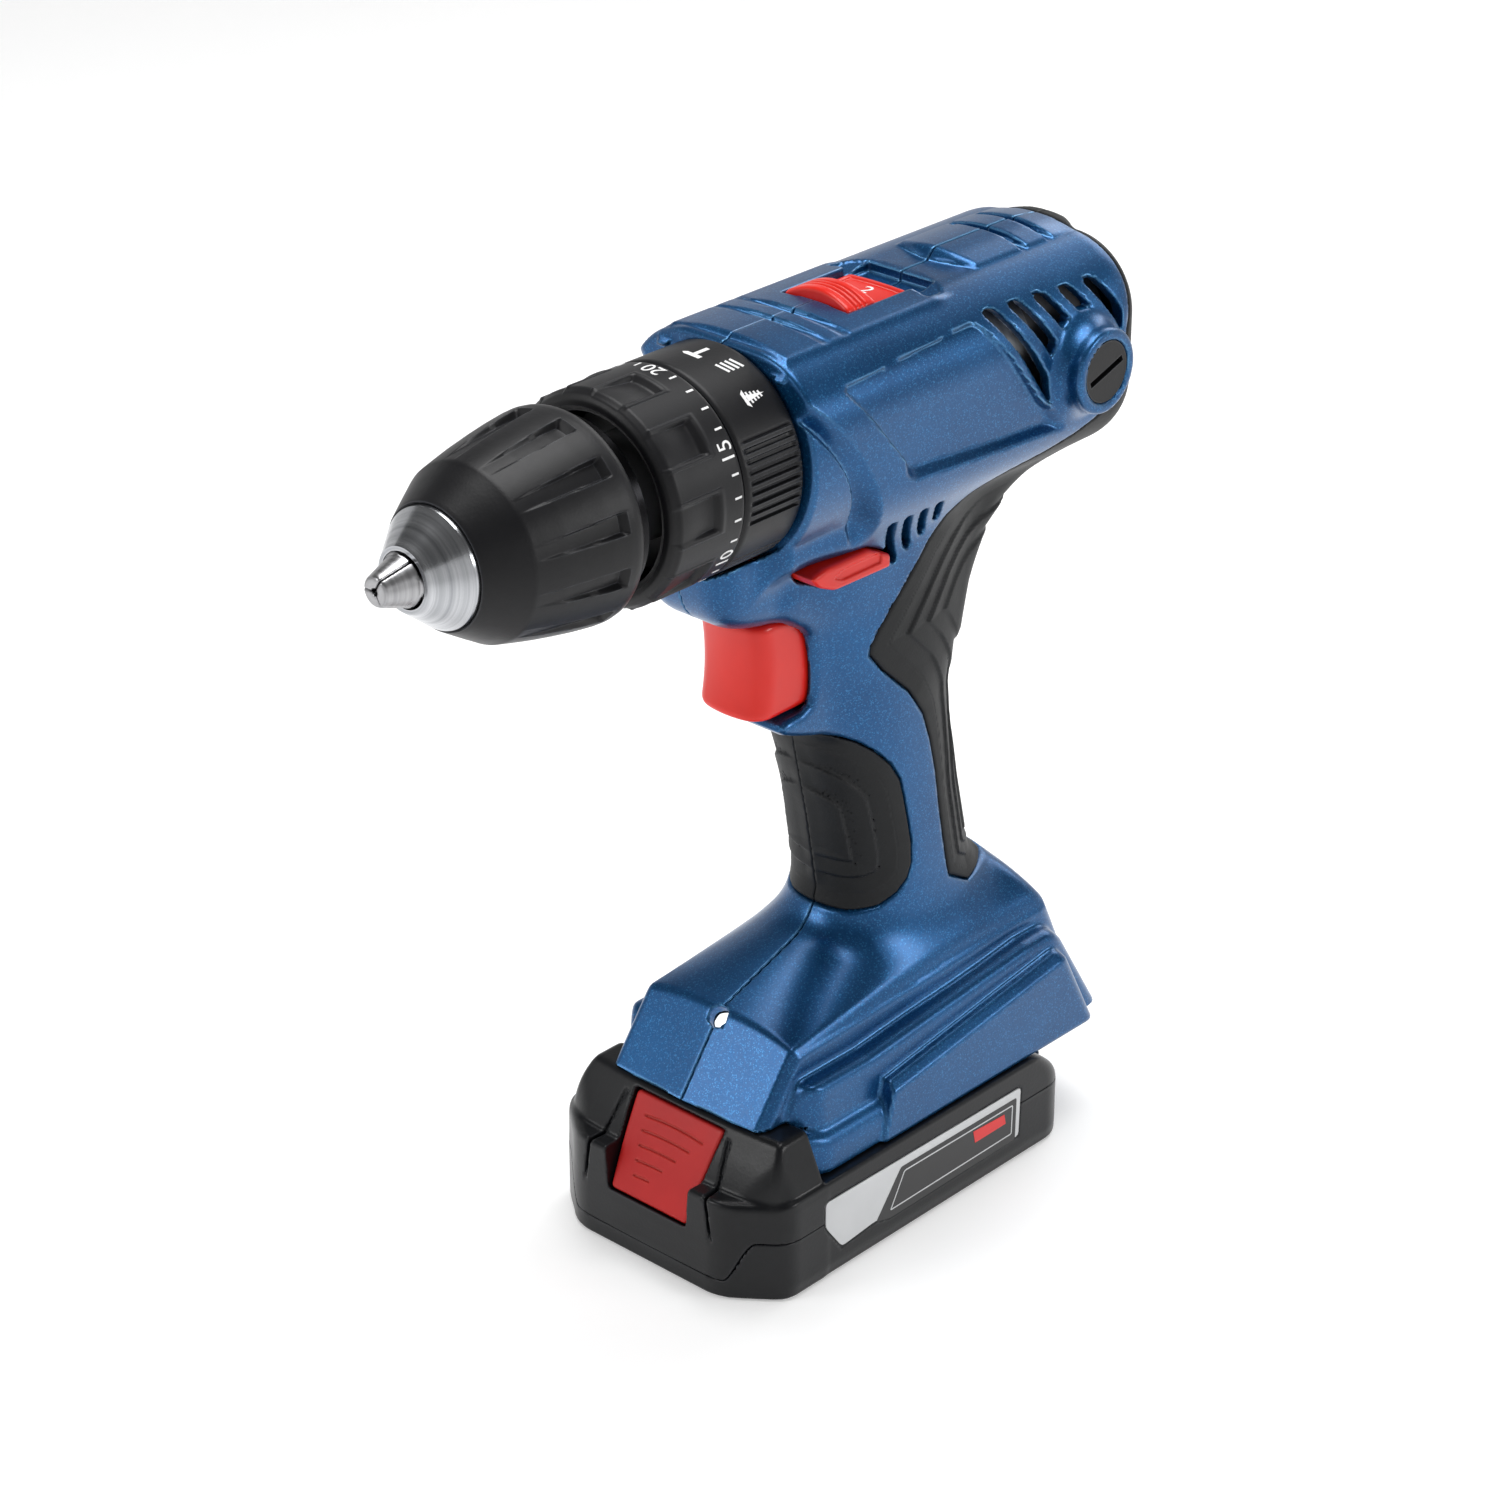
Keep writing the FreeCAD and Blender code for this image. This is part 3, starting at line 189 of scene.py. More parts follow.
def netSurface(field, xs, ys, zs, pulls=4):
    # The zero surface of a field on a grid: one point in every cell that the surface
    # crosses, at the middle of its edge crossings, pulled onto the surface along the slope.
    values = field(xs[:, None, None], ys[None, :, None], zs[None, None, :])
    values = np.broadcast_to(values, (len(xs), len(ys), len(zs))).astype(np.float32)
    inside = values < 0
    shape = tuple(n - 1 for n in values.shape)
    total = np.zeros(shape, np.int8)
    for i in (0, 1):
        for j in (0, 1):
            for k in (0, 1):
                total += inside[i:shape[0] + i, j:shape[1] + j, k:shape[2] + k]
    active = (total > 0) & (total < 8)
    index = np.full(shape, -1, np.int32)
    index[active] = np.arange(active.sum(), dtype=np.int32)
    ci, cj, ck = np.nonzero(active)
    place = np.zeros((len(ci), 3))
    count = np.zeros(len(ci))
    axes = (xs, ys, zs)
    corner = [(i, j, k) for i in (0, 1) for j in (0, 1) for k in (0, 1)]
    for a in corner:
        for d in range(3):
            if a[d]:
                continue
            b = tuple(a[n] + (n == d) for n in range(3))
            va = values[ci + a[0], cj + a[1], ck + a[2]]
            vb = values[ci + b[0], cj + b[1], ck + b[2]]
            crossed = (va < 0) != (vb < 0)
            t = np.where(crossed, va / np.where(crossed, va - vb, 1.0), 0.0)
            pa = np.stack([axes[n][(ci, cj, ck)[n] + a[n]] for n in range(3)], 1)
            pb = np.stack([axes[n][(ci, cj, ck)[n] + b[n]] for n in range(3)], 1)
            place += np.where(crossed[:, None], pa + (pb - pa) * t[:, None], 0.0)
            count += crossed
    place /= count[:, None]
    low = np.stack([axes[n][(ci, cj, ck)[n]] for n in range(3)], 1)
    high = np.stack([axes[n][(ci, cj, ck)[n] + 1] for n in range(3)], 1)
    room = (high - low) * 0.35
    for _ in range(pulls):
        slope = gradient(field, place, 0.06)
        d = field(place[:, 0], place[:, 1], place[:, 2])
        size = np.maximum((slope ** 2).sum(1), 0.15)
        move = -np.clip(d / size, -0.4, 0.4)[:, None] * slope
        place = np.clip(place + move, low - room, high + room)
    quads = []
    for d in range(3):
        e, f = (d + 1) % 3, (d + 2) % 3
        a = np.take(inside, range(0, values.shape[d] - 1), d)
        b = np.take(inside, range(1, values.shape[d]), d)
        crossed = a != b
        for n in (e, f):
            edge = [slice(None)] * 3
            edge[n] = 0
            crossed[tuple(edge)] = False
            edge[n] = -1
            crossed[tuple(edge)] = False
        gi = np.stack(np.nonzero(crossed), 1)
        be, bf = np.zeros(3, int), np.zeros(3, int)
        be[e], bf[f] = 1, 1
        ring = [index[tuple((gi - o).T)] for o in (be * 0, be, be + bf, bf)]
        quad = np.stack(ring, 1)
        flip = a[tuple(gi.T)]
        quad[~flip] = quad[~flip][:, ::-1]
        quads.append(quad)
    quads = np.concatenate(quads)
    normals = gradient(field, place, 0.22)
    normals /= np.linalg.norm(normals, axis=1, keepdims=True) + 1e-9
    return place, quads, normals


def fieldPiece(name, field, xs, ys, zs, material):
    place, quads, normals = netSurface(field, xs, ys, zs)
    made = makeMesh(name, place, quads, normals, material)
    print("piece", name, "triangles", 2 * len(quads))
    return made


def solidPiece(name, points, polygons, material):
    # A small solid from its points in millimetres, with all its faces turned outwards.
    mesh = bpy.data.meshes.new(name)
    mesh.from_pydata([tuple(p) for p in points * 0.001], [], polygons)
    build = bmesh.new()
    build.from_mesh(mesh)
    bmesh.ops.recalc_face_normals(build, faces=build.faces)
    build.to_mesh(mesh)
    build.free()
    mesh.materials.append(material)
    return linked(name, mesh)


def finishPiece(made, owner, slotName=None, *stands):
    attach(made, owner)
    if stands:
        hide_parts(*stands)
    return made


# Materials

def newGroup(name, inputs, outputs):
    tree = bpy.data.node_groups.new(name, "ShaderNodeTree")
    for label, value in inputs.items():
        socket = tree.interface.new_socket(label, in_out="INPUT", socket_type="NodeSocketFloat")
        socket.default_value = value
    for label in outputs:
        tree.interface.new_socket(label, in_out="OUTPUT", socket_type="NodeSocketFloat")
    return tree, tree.nodes.new("NodeGroupInput"), tree.nodes.new("NodeGroupOutput")


def addNode(tree, kind, **settings):
    made = tree.nodes.new(kind)
    for key, value in settings.items():
        setattr(made, key, value)
    return made


def feed(tree, node, values):
    # Numbers and colours are set on the node's inputs, outputs of other nodes linked to them.
    for label, value in values.items():
        if isinstance(value, (int, float)):
            node.inputs[label].default_value = value
        elif isinstance(value, tuple):
            node.inputs[label].default_value = (*value, 1.0)
        else:
            tree.links.new(value, node.inputs[label])


def mathNode(tree, operation, first, second=None):
    made = addNode(tree, "ShaderNodeMath", operation=operation)
    feed(tree, made, {0: first} if second is None else {0: first, 1: second})
    return made.outputs[0]


def noiseNode(tree, vector, scale, detail=3.0, rough=0.5):
    made = addNode(tree, "ShaderNodeTexNoise")
    feed(tree, made, {"Vector": vector, "Scale": scale, "Detail": detail, "Roughness": rough})
    return made.outputs["Fac"]


def rampNode(tree, value, low, high):
    made = addNode(tree, "ShaderNodeMapRange")
    feed(tree, made, {"Value": value, "From Min": low, "From Max": high})
    return made.outputs[0]


def mixColour(tree, mask, first, second):
    made = addNode(tree, "ShaderNodeMix", data_type="RGBA")
    feed(tree, made, {"Factor": mask, 6: first, 7: second})
    return made.outputs[2]


def objectPlace(tree):
    return addNode(tree, "ShaderNodeTexCoord").outputs["Object"]


def finishGroup(tree, entry, end, height, main, extra):
    # The height, a roughness that varies with both noises, and a tone from the main one.
    change = mathNode(tree, "SUBTRACT", mathNode(tree, "ADD", main, extra), 1.0)
    change = mathNode(tree, "MULTIPLY", change, entry.outputs["Variation"])
    feed(tree, end, {
        "Height": height, "Roughness": mathNode(tree, "ADD", entry.outputs["Roughness"], change),
        "Tone": rampNode(tree, main, 0.3, 0.7)})


# Moulded grain: a fine pebble, a slow unevenness of the surface and handling marks
grainTree, grainIn, grainOut = newGroup(
    "mouldedGrain", {"Grain Size": 1500.0, "Grain Depth": 0.5, "Roughness": 0.5, "Variation": 0.1},
    ("Height", "Roughness", "Tone"))
place = objectPlace(grainTree)
pebble = addNode(grainTree, "ShaderNodeTexVoronoi", feature="SMOOTH_F1")
feed(grainTree, pebble, {"Vector": place, "Scale": grainIn.outputs["Grain Size"]})
fine = mathNode(grainTree, "MULTIPLY", noiseNode(grainTree, place, 2600.0, 2.0), 0.5)
slow = noiseNode(grainTree, place, 38.0, 4.0, 0.55)
scuff = noiseNode(grainTree, place, 160.0, 6.0, 0.7)
both = mathNode(grainTree, "ADD", pebble.outputs["Distance"], fine)
height = mathNode(grainTree, "MULTIPLY", both, grainIn.outputs["Grain Depth"])
finishGroup(grainTree, grainIn, grainOut, height, slow, scuff)

# Painted edge highlight: a mask of the sharp outer edges, where the bevelled normal leaves the flat one
edgeTree, edgeIn, edgeOut = newGroup("paintedEdgeHighlight", {"Radius": 0.0006, "Strength": 1.0}, ("Mask",))
rounded = addNode(edgeTree, "ShaderNodeBevel", samples=4)
feed(edgeTree, rounded, {"Radius": edgeIn.outputs["Radius"]})
flatNormal = addNode(edgeTree, "ShaderNodeNewGeometry").outputs["Normal"]
alike = addNode(edgeTree, "ShaderNodeVectorMath", operation="DOT_PRODUCT")
feed(edgeTree, alike, {0: rounded.outputs[0], 1: flatNormal})
unlike = mathNode(edgeTree, "SUBTRACT", 1.0, alike.outputs["Value"])
feed(edgeTree, edgeOut, {"Mask": mathNode(edgeTree, "MULTIPLY", unlike, edgeIn.outputs["Strength"])})

# Turned metal: streaks round the drill's axis, with smudges
brushTree, brushIn, brushOut = newGroup(
    "turnedMetal", {"Roughness": 0.3, "Streaks": 900.0, "Variation": 0.2}, ("Height", "Roughness", "Tone"))
place = objectPlace(brushTree)
parts = addNode(brushTree, "ShaderNodeSeparateXYZ")
feed(brushTree, parts, {0: place})
down = mathNode(brushTree, "SUBTRACT", parts.outputs["Z"], axisHeight * 0.001)
squares = [mathNode(brushTree, "MULTIPLY", value, value) for value in (parts.outputs["Y"], down)]
around = mathNode(brushTree, "SQRT", mathNode(brushTree, "ADD", *squares))
lined = addNode(brushTree, "ShaderNodeCombineXYZ")
feed(brushTree, lined, {"X": parts.outputs["X"], "Y": around})
lines = noiseNode(brushTree, lined.outputs[0], brushIn.outputs["Streaks"], 5.0, 0.75)
smudge = noiseNode(brushTree, place, 90.0, 3.0)
finishGroup(brushTree, brushIn, brushOut, lines, lines, smudge)


def newMaterial(name):
    made = bpy.data.materials.new(name)
    made.use_nodes = True
    return made, made.node_tree, made.node_tree.nodes["Principled BSDF"]


def addGroup(tree, group, values):
    made = addNode(tree, "ShaderNodeGroup", node_tree=group)
    feed(tree, made, values)
    return made.outputs


def addBump(tree, shader, height, strength, distance):
    bump = addNode(tree, "ShaderNodeBump")
    feed(tree, bump, {"Strength": strength, "Distance": distance, "Height": height})
    feed(tree, shader, {"Normal": bump.outputs[0]})


def plastic(name, dark, light, roughness, grain=0.35, size=1500.0, variation=0.12, coat=0.0, edge=None,
            specular=0.5, edgeStrength=5.0):
    # A moulded plastic or rubber; edge is the colour of a painted highlight on its sharp edges.
    made, tree, shader = newMaterial(name)
    moulded = addGroup(tree, grainTree, {
        "Grain Size": size, "Grain Depth": grain, "Roughness": roughness, "Variation": variation})
    colour = mixColour(tree, moulded["Tone"], dark, light)
    if edge:
        # painted highlight: the sharp edges are mixed towards the lighter edge colour
        edgeHighlight = addGroup(tree, edgeTree, {"Strength": edgeStrength})
        colour = mixColour(tree, mathNode(tree, "MINIMUM", edgeHighlight["Mask"], 1.0), colour, edge)
    addBump(tree, shader, moulded["Height"], 0.35, 0.0001)
    feed(tree, shader, {
        "Base Color": colour, "Roughness": moulded["Roughness"], "Specular IOR Level": specular,
        "Coat Weight": coat, "Coat Roughness": 0.18})
    return made


def metal(name, dark, light, roughness, streaks=900.0):
    made, tree, shader = newMaterial(name)
    turned = addGroup(tree, brushTree, {"Roughness": roughness, "Streaks": streaks, "Variation": 0.2})
    addBump(tree, shader, turned["Height"], 0.25, 0.00005)
    feed(tree, shader, {
        "Base Color": mixColour(tree, turned["Tone"], dark, light), "Roughness": turned["Roughness"],
        "Metallic": 1.0})
    return made


def flakedBlue():
    # Blue plastic with fine metal flakes under a thin gloss.
    made, tree, shader = newMaterial("flakedBlue")
    moulded = addGroup(tree, grainTree, {
        "Grain Size": 1100.0, "Grain Depth": 0.30, "Roughness": 0.33, "Variation": 0.10})
    flakes = addNode(tree, "ShaderNodeTexVoronoi", feature="F1")
    feed(tree, flakes, {"Scale": 3600.0, "Vector": objectPlace(tree)})
    flake = addNode(tree, "ShaderNodeSeparateColor")
    feed(tree, flake, {0: flakes.outputs["Color"]})
    bright = rampNode(tree, flake.outputs[0], 0.80, 1.15)
    base = mixColour(tree, moulded["Tone"], (0.0018, 0.054, 0.165), (0.0035, 0.074, 0.215))
    fleck = mixColour(tree, bright, base, (0.035, 0.220, 0.480))
    # painted highlight: the sharp edges are mixed towards a pale blue
    edgeHighlight = addGroup(tree, edgeTree, {"Radius": 0.0007, "Strength": 7.0})
    mask = mathNode(tree, "MINIMUM", edgeHighlight["Mask"], 0.85)
    addBump(tree, shader, moulded["Height"], 0.30, 0.0001)
    feed(tree, shader, {
        "Base Color": mixColour(tree, mask, fleck, (0.14, 0.38, 0.62)), "Roughness": moulded["Roughness"],
        "Metallic": rampNode(tree, flake.outputs[1], -2.4, 1.9), "Coat Weight": 0.25, "Coat Roughness": 0.22})
    return made


def chuckMetal():
    # Bright steel, near black behind about 105 mm at the rear of the chuck.
    made = metal("chuckSteel", (0.30, 0.31, 0.33), (0.62, 0.63, 0.65), 0.22)
    tree = made.node_tree
    shader = tree.nodes["Principled BSDF"]
    where = addNode(tree, "ShaderNodeSeparateXYZ")
    feed(tree, where, {0: objectPlace(tree)})
    frontMask = rampNode(tree, where.outputs["X"], 0.104, 0.106)
    bright = shader.inputs["Base Color"].links[0].from_socket
    feed(tree, shader, {"Base Color": mixColour(tree, frontMask, (0.012, 0.012, 0.013), bright)})
    return made


# the edge colours below are painted highlights on the sharp edges
finishes = {
    "blue_housing": flakedBlue(),
    "black_plastic": plastic("blackPlastic", (0.004, 0.004, 0.0045), (0.007, 0.007, 0.008), 0.40,
                             edge=(0.05, 0.053, 0.06), specular=0.28),
    "grip_rubber": plastic("gripRubber", (0.0045, 0.005, 0.006), (0.008, 0.009, 0.010), 0.52, grain=0.6,
                           size=1900.0, edge=(0.040, 0.043, 0.050), specular=0.24),
    "red_plastic": plastic("redPlastic", (0.62, 0.012, 0.006), (0.74, 0.018, 0.009), 0.32, grain=0.08,
                           coat=0.15, edge=(0.85, 0.12, 0.08), edgeStrength=3.0, specular=0.30),
    "dark_red_plastic": plastic("darkRedPlastic", (0.40, 0.010, 0.010), (0.50, 0.014, 0.013), 0.40,
                                grain=0.3, edge=(0.62, 0.12, 0.09), specular=0.30),
    "chuck_steel": chuckMetal(),
    "gear_steel": metal("gearSteel", (0.32, 0.32, 0.33), (0.50, 0.49, 0.48), 0.30),
    "motor_steel": metal("motorSteel", (0.28, 0.29, 0.30), (0.42, 0.43, 0.44), 0.38, streaks=500.0),
    "screw_steel": metal("screwSteel", (0.10, 0.10, 0.105), (0.18, 0.18, 0.19), 0.34),
    "spring_steel": metal("springSteel", (0.34, 0.34, 0.36), (0.52, 0.52, 0.54), 0.28),
    "copper": metal("copper", (0.62, 0.24, 0.10), (0.86, 0.40, 0.20), 0.28),
    "gearbox_nylon": plastic("gearboxNylon", (0.060, 0.062, 0.066), (0.10, 0.10, 0.105), 0.5),
    "carbon": plastic("carbon", (0.012, 0.012, 0.012), (0.03, 0.03, 0.03), 0.6, grain=0.9),
    "wire_cover": plastic("wireCover", (0.42, 0.010, 0.008), (0.55, 0.018, 0.014), 0.34, grain=0.1),
    "cell_wrap": plastic("cellWrap", (0.03, 0.16, 0.10), (0.05, 0.24, 0.15), 0.28, grain=0.08),
    "circuit_board": plastic("circuitBoard", (0.008, 0.055, 0.020), (0.015, 0.095, 0.034), 0.32, grain=0.4),
    "lens": plastic("lens", (0.72, 0.76, 0.80), (0.86, 0.90, 0.94), 0.08, grain=0.02, coat=1.0,
                    variation=0.02),
}
# painted glint: the lens is given a faint white glow of its own
feed(None, finishes["lens"].node_tree.nodes["Principled BSDF"],
     {"Emission Color": (0.9, 0.95, 1.0), "Emission Strength": 1.4})
# the edge colours of these two are painted highlights on the sharp edges too
ringBlack = plastic("ringPlastic", (0.004, 0.004, 0.005), (0.007, 0.007, 0.0085), 0.42,
                    edge=(0.055, 0.058, 0.066), specular=0.28)
batteryBlack = plastic("batteryPlastic", (0.0035, 0.004, 0.005), (0.006, 0.0065, 0.008), 0.32, grain=0.4,
                       size=1300.0, edge=(0.05, 0.054, 0.062), specular=0.30)
jawSteel = metal("jawSteel", (0.30, 0.30, 0.31), (0.46, 0.46, 0.47), 0.30)
white = plastic("whiteMark", (0.78, 0.78, 0.78), (0.90, 0.90, 0.90), 0.5, grain=0.05)
labelGrey = plastic("labelGrey", (0.52, 0.53, 0.54), (0.60, 0.61, 0.62), 0.42, grain=0.05)
labelBlack = plastic("labelBlack", (0.008, 0.008, 0.009), (0.012, 0.012, 0.013), 0.30, grain=0.08)
redMark = plastic("redMark", (0.62, 0.010, 0.012), (0.72, 0.016, 0.016), 0.35, grain=0.05)
for entry in frame["record"]["subparts"]:
    nodeMesh = nodes[entry["node"]].data
    nodeMesh.materials.clear()
    nodeMesh.materials.append(finishes[entry["material_slot"]])
print("materials ready", len(finishes))


# Body

body = {
    "halfWidth": 29.2, "top": 231.6, "low": 178.0, "corner": 19.0, "rear": -86.0, "front": 33.0,
    "collar": 28.3, "wall": 3.0, "gripDepth": 1.5, "bossX": -62.0,
}
handleStations = {
    "z": [40.0, 58.0, 80.4, 100.2, 120.0, 139.8, 160.0, 182.0, 200.0],
    "x": [-26.0, -25.5, -24.0, -20.0, -16.0, -13.0, -10.0, -6.0, -5.0],
    "depth": [28.0, 26.0, 24.0, 23.5, 24.0, 25.0, 29.5, 36.0, 40.0],
    "half": [22.0, 20.0, 18.2, 18.0, 18.0, 18.2, 19.0, 21.0, 22.0],
}
saddleOutline = softened(fromAxis([
    (-79, -14), (-74, -28.5), (-58, -35.5), (-45, -49), (-37, -72), (-10, -72), (-10, -14)]), 1)
lipOutline = softened([
    (-12, 170), (25, 170), (21.5, 163.5), (18.2, 160.5), (15.8, 156.5), (15.3, 142.5), (17.2, 138.2),
    (25.5, 137.6), (26.8, 134.6), (18, 131.0), (6, 127.5), (-12, 127.0)], 1)
rearGripOutline = softened(fromAxis([
    (-99.0, 44.0), (-77.0, 36.0), (-78.5, 26.0), (-80.0, 18.0), (-79.0, 8.0), (-76.5, -4.0), (-73.0, -14.0),
    (-58.0, -19.6), (-34.0, -22.5), (-19.0, -30.5), (-9.0, -42.0), (0.5, -54.5), (0.5, -59.5),
    (-17.0, -76.0), (-23.0, -92.0), (-26.5, -114.0), (-30.5, -133.5), (-60.0, -133.5), (-99.0, -60.0)]), 1)
frontGripOutline = softened([
    (30.0, 131.0), (9.0, 128.6), (-1.0, 123.4), (-10.5, 113.6), (-13.5, 103.0), (-16.6, 88.0),
    (-14.5, 80.5), (-5.0, 75.0), (9.0, 76.0), (30.0, 86.0)], 1)
screwHoles = [(-58.0, 178.0), (-30.5, 150.0), (35.0, 171.5), (-31.0, 92.0), (22.0, 49.0), (-46.0, 49.0)]


def fromBoss(x, z):
    # Distance from the axis of the round boss at the rear of the motor.
    return np.hypot(x - body["bossX"], z - axisHeight)


def handleField(x, y, z):
    s = handleStations
    middle = np.interp(z, s["z"], s["x"])
    depth = np.interp(z, s["z"], s["depth"])
    half = np.interp(z, s["z"], s["half"])
    u, v = np.abs(x - middle) / depth, np.abs(y) / half
    p = 2.35
    r = (u ** p + v ** p + 1e-6) ** (1.0 / p)
    slope = np.sqrt((u ** (p - 1) / depth) ** 2 + (v ** (p - 1) / half) ** 2) * r ** (1 - p)
    return (r - 1.0) / np.maximum(slope, 0.02)


def barrelField(x, y, z):
    b = body
    dy = np.abs(y) - (b["halfWidth"] - b["corner"])
    dz = np.abs(z - (b["top"] + b["low"]) / 2) - ((b["top"] - b["low"]) / 2 - b["corner"])
    section = np.hypot(np.maximum(dy, 0), np.maximum(dz, 0)) + np.minimum(np.maximum(dy, dz), 0) - b["corner"]
    radius = np.hypot(y, z - axisHeight)

    # The side plates stop at a slanted line; ahead of it the round collar shows, behind a
    # groove that falls away from the line and rises steeply at the collar.
    t = z - 189.0
    line = 9.4 + 0.263 * t + 0.0122 * t * t
    ahead = x - np.where(t < 0, 9.4 + 0.2 * t, line)
    onSide = step01(np.abs(y), 14.0, 20.0) * step01(z, 180.0, 188.0)
    dip = np.clip(ahead + 0.2, 0.0, 5.2) * 0.42 * (1.0 - step01(ahead, 5.0, 6.6)) * onSide
    collar = np.maximum(radius - b["collar"], section)
    share = step01(ahead, -0.3, 5.0) * onSide
    section = section * (1.0 - share) + collar * share + dip
    solid = smoothMax(section, b["rear"] - x, 11.0)
    return smoothMax(solid, x - b["front"], 1.6)


def deckField(x, y, z):
    a = np.abs(y)
    plan = faces(x, a, [(-37.2, -9), (34, -9), (34, 19.4), (-36.0, 19.4)], 0.8)
    rearPlan = faces(x, a, [(-83.5, -9), (-36, -9), (-40.6, 12.9), (-79.0, 12.9), (-83.5, 6.0)], 0.8)
    top = z - (232.7 - 0.0052 * a * a - 1.5 * step01(-x, 20.0, 30.0))
    rearTop = z - (234.3 - 0.0140 * a * a - 1.6 * step01(-x, 66.0, 84.0))
    front = chamferMax(plan, top, 2.2)
    front = smoothMax(front, (x - 29.6) * 0.80 + (z - 232.6) * 0.6, 0.6)
    rear = chamferMax(rearPlan, rearTop, 1.3)
    rear = smoothMax(rear, (x + 37.0) * 0.70 + (z - 231.0) * 0.71, 0.6)
    solid = smoothMin(front, rear, 0.5)
    for middle, half in ((16.9, 1.05), (10.2, 1.05), (-58.8, 1.1), (-68.4, 1.1)):
        floor = 231.1 if middle > 0 else 232.3 - 0.0137 * a * a
        solid = smoothMax(solid, -smoothMax(np.abs(x - middle) - half, floor - z, 0.5), 0.5)
    return smoothMax(solid, 226.0 - z, 1.0)


def footField(x, y, z):
    a = np.abs(y)
    ahead = ((x - 34.8) * 15.8 + (z - 57.1) * 11.7) / 19.66
    crown = np.clip(2.3 + 0.30 * (34.0 - x), 0.0, 13.5)
    top = z - (57.2 + 0.042 * np.clip(34.8 - x, 0, 80) + crown * np.clip(1 - (a / 24.5) ** 2, 0, 1) ** 0.8)
    top = top * 0.9
    rear = -59.6 + 0.12 * (z - 27.0) - x
    core = trimmed(
        chamferMax(chamferMax(a - 25.2, top, 1.9, 0.5), ahead - 0.0016 * (24 - a) * 24, 0.4, 0.4),
        ((a - 23.2) * 0.77 + ahead * 0.64, 0.5), (rear - 7.0 + 0.35 * (z - 58.0), 6.0))
    second = trimmed(
        a - 31.3, (z - (49.7 + 0.095 * np.clip(14.0 - x, 0, 60)), 3.6),
        ((x - 35.2) * 0.93 + (z - 49.6) * 0.37, 2.5),
        ((x - 33.0) * 0.62 + (a - 31.0) * 0.79, 1.5), (rear - 2.0 + 0.5 * (z - 56.0), 5.0))
    third = trimmed(
        chamferMax(a - 35.9, z - (42.2 + 0.148 * (10.3 - x)), 2.4, 0.5),
        (x - 10.3 - 0.25 * (42 - z), 0.7), (rear + 0.4 * (z - 50.0), 4.0))
    front = faces(x, z, [(-60, 20), (34.4, 20), (39.6, 32), (46.6, 45), (-60, 45)], 1.0)
    skirt = trimmed(
        a - 34.6, (z - 38.0, 7.0), (front, 1.0), ((x - 33.8) * 0.55 + (a - 34.6) * 0.83, 2.0), (rear, 6.0))
    solid = smoothMin(smoothMin(core, second, 1.6), smoothMin(third, skirt, 1.0), 1.2)
    return smoothMax(solid, 27.0 - z, 0.8)


def chinField(x, y, z):
    side = faces(x, z, [
        (4, 160.6), (26, 161.0), (38, 163.0), (45.5, 167.6), (48.6, 174.0), (48.6, 190), (4, 190)], 5.0)
    return smoothMax(side, np.abs(y) - 14.5 + 0.010 * np.maximum(190 - z, 0) ** 1.2, 9.0)


def outerField(x, y, z):
    # The whole body before any openings.
    a = np.abs(y)
    head = smoothMin(barrelField(x, y, z), deckField(x, y, z), 0.6)
    boss = smoothMax(fromBoss(x, z) - 10.6 - 1.6 * step01(-a, -33.0, -28.0), a - 36.0, 1.6)
    head = smoothMin(head, boss, 2.2)
    saddle = smoothMax(outline(x, z, saddleOutline), a - 14.5, 9.0)
    lip = smoothMax(outline(x, z, lipOutline), a - 13.0, 3.0)
    grip = smoothMax(smoothMin(handleField(x, y, z), saddle, 8.0), z - 205.0, 6.0)
    grip = smoothMax(smoothMin(grip, lip, 5.0), 40.0 - z, 2.0)
    neck = smoothMin(grip, footField(x, y, z), 9.0)
    return smoothMin(smoothMin(head, chinField(x, y, z), 7.0), neck, 7.0)


panel = {"corners": [(-51.4, 194.0), (-0.6, 198.0), (21.2, 223.3), (-26.6, 225.4)], "top": 1.0, "low": 2.6}
lightPlace = {"centre": (32.8, 55.3), "radius": 2.5, "tilt": 52.0, "facets": 6}


def bodySkin(x, y, z):
    # The outer surface with its side panel, shallow at the upper edge, deep and bevelled at the lower one.
    plate = faces(x, z, panel["corners"], 2.0)
    share = np.clip((z - 195.0) / 29.0, 0, 1)
    low = panel["low"] + (panel["top"] - panel["low"]) * share
    bevel = 0.35 + 2.5 * step01(-z, -202.0, -197.0)
    sunk = low * (1.0 - step01(plate, -0.4, bevel)) * step01(np.abs(y), 12.0, 18.0)
    return outerField(x, y, z) + sunk


def slots(x, y, z):
    # Cooling slots: a row above the boss and a short row under the side panel.
    bars = []
    for i in range(5):
        start = -32.4 - 8.6 * i
        bar = np.abs(x - (start - 0.72 * (226.0 - z))) * 0.81 - 1.75
        bars.append(trimmed(bar, (slab(z, 199.5, 226.6 - 0.4 * i), 1.6), (13.6 - fromBoss(x, z), 1.0),
                            (-76.0 - x, 1.0)))
    for i in range(4):
        start = 3.0 - 5.6 * i
        bar = np.abs(x - (start - 0.50 * (186.0 - z))) * 0.89 - 1.15
        bars.append(smoothMax(bar, slab(z, 171.0 + 2.4 * i, 184.6), 1.2))
    return smoothMax(inAny(*bars), 12.0 - np.abs(y), 1.0)


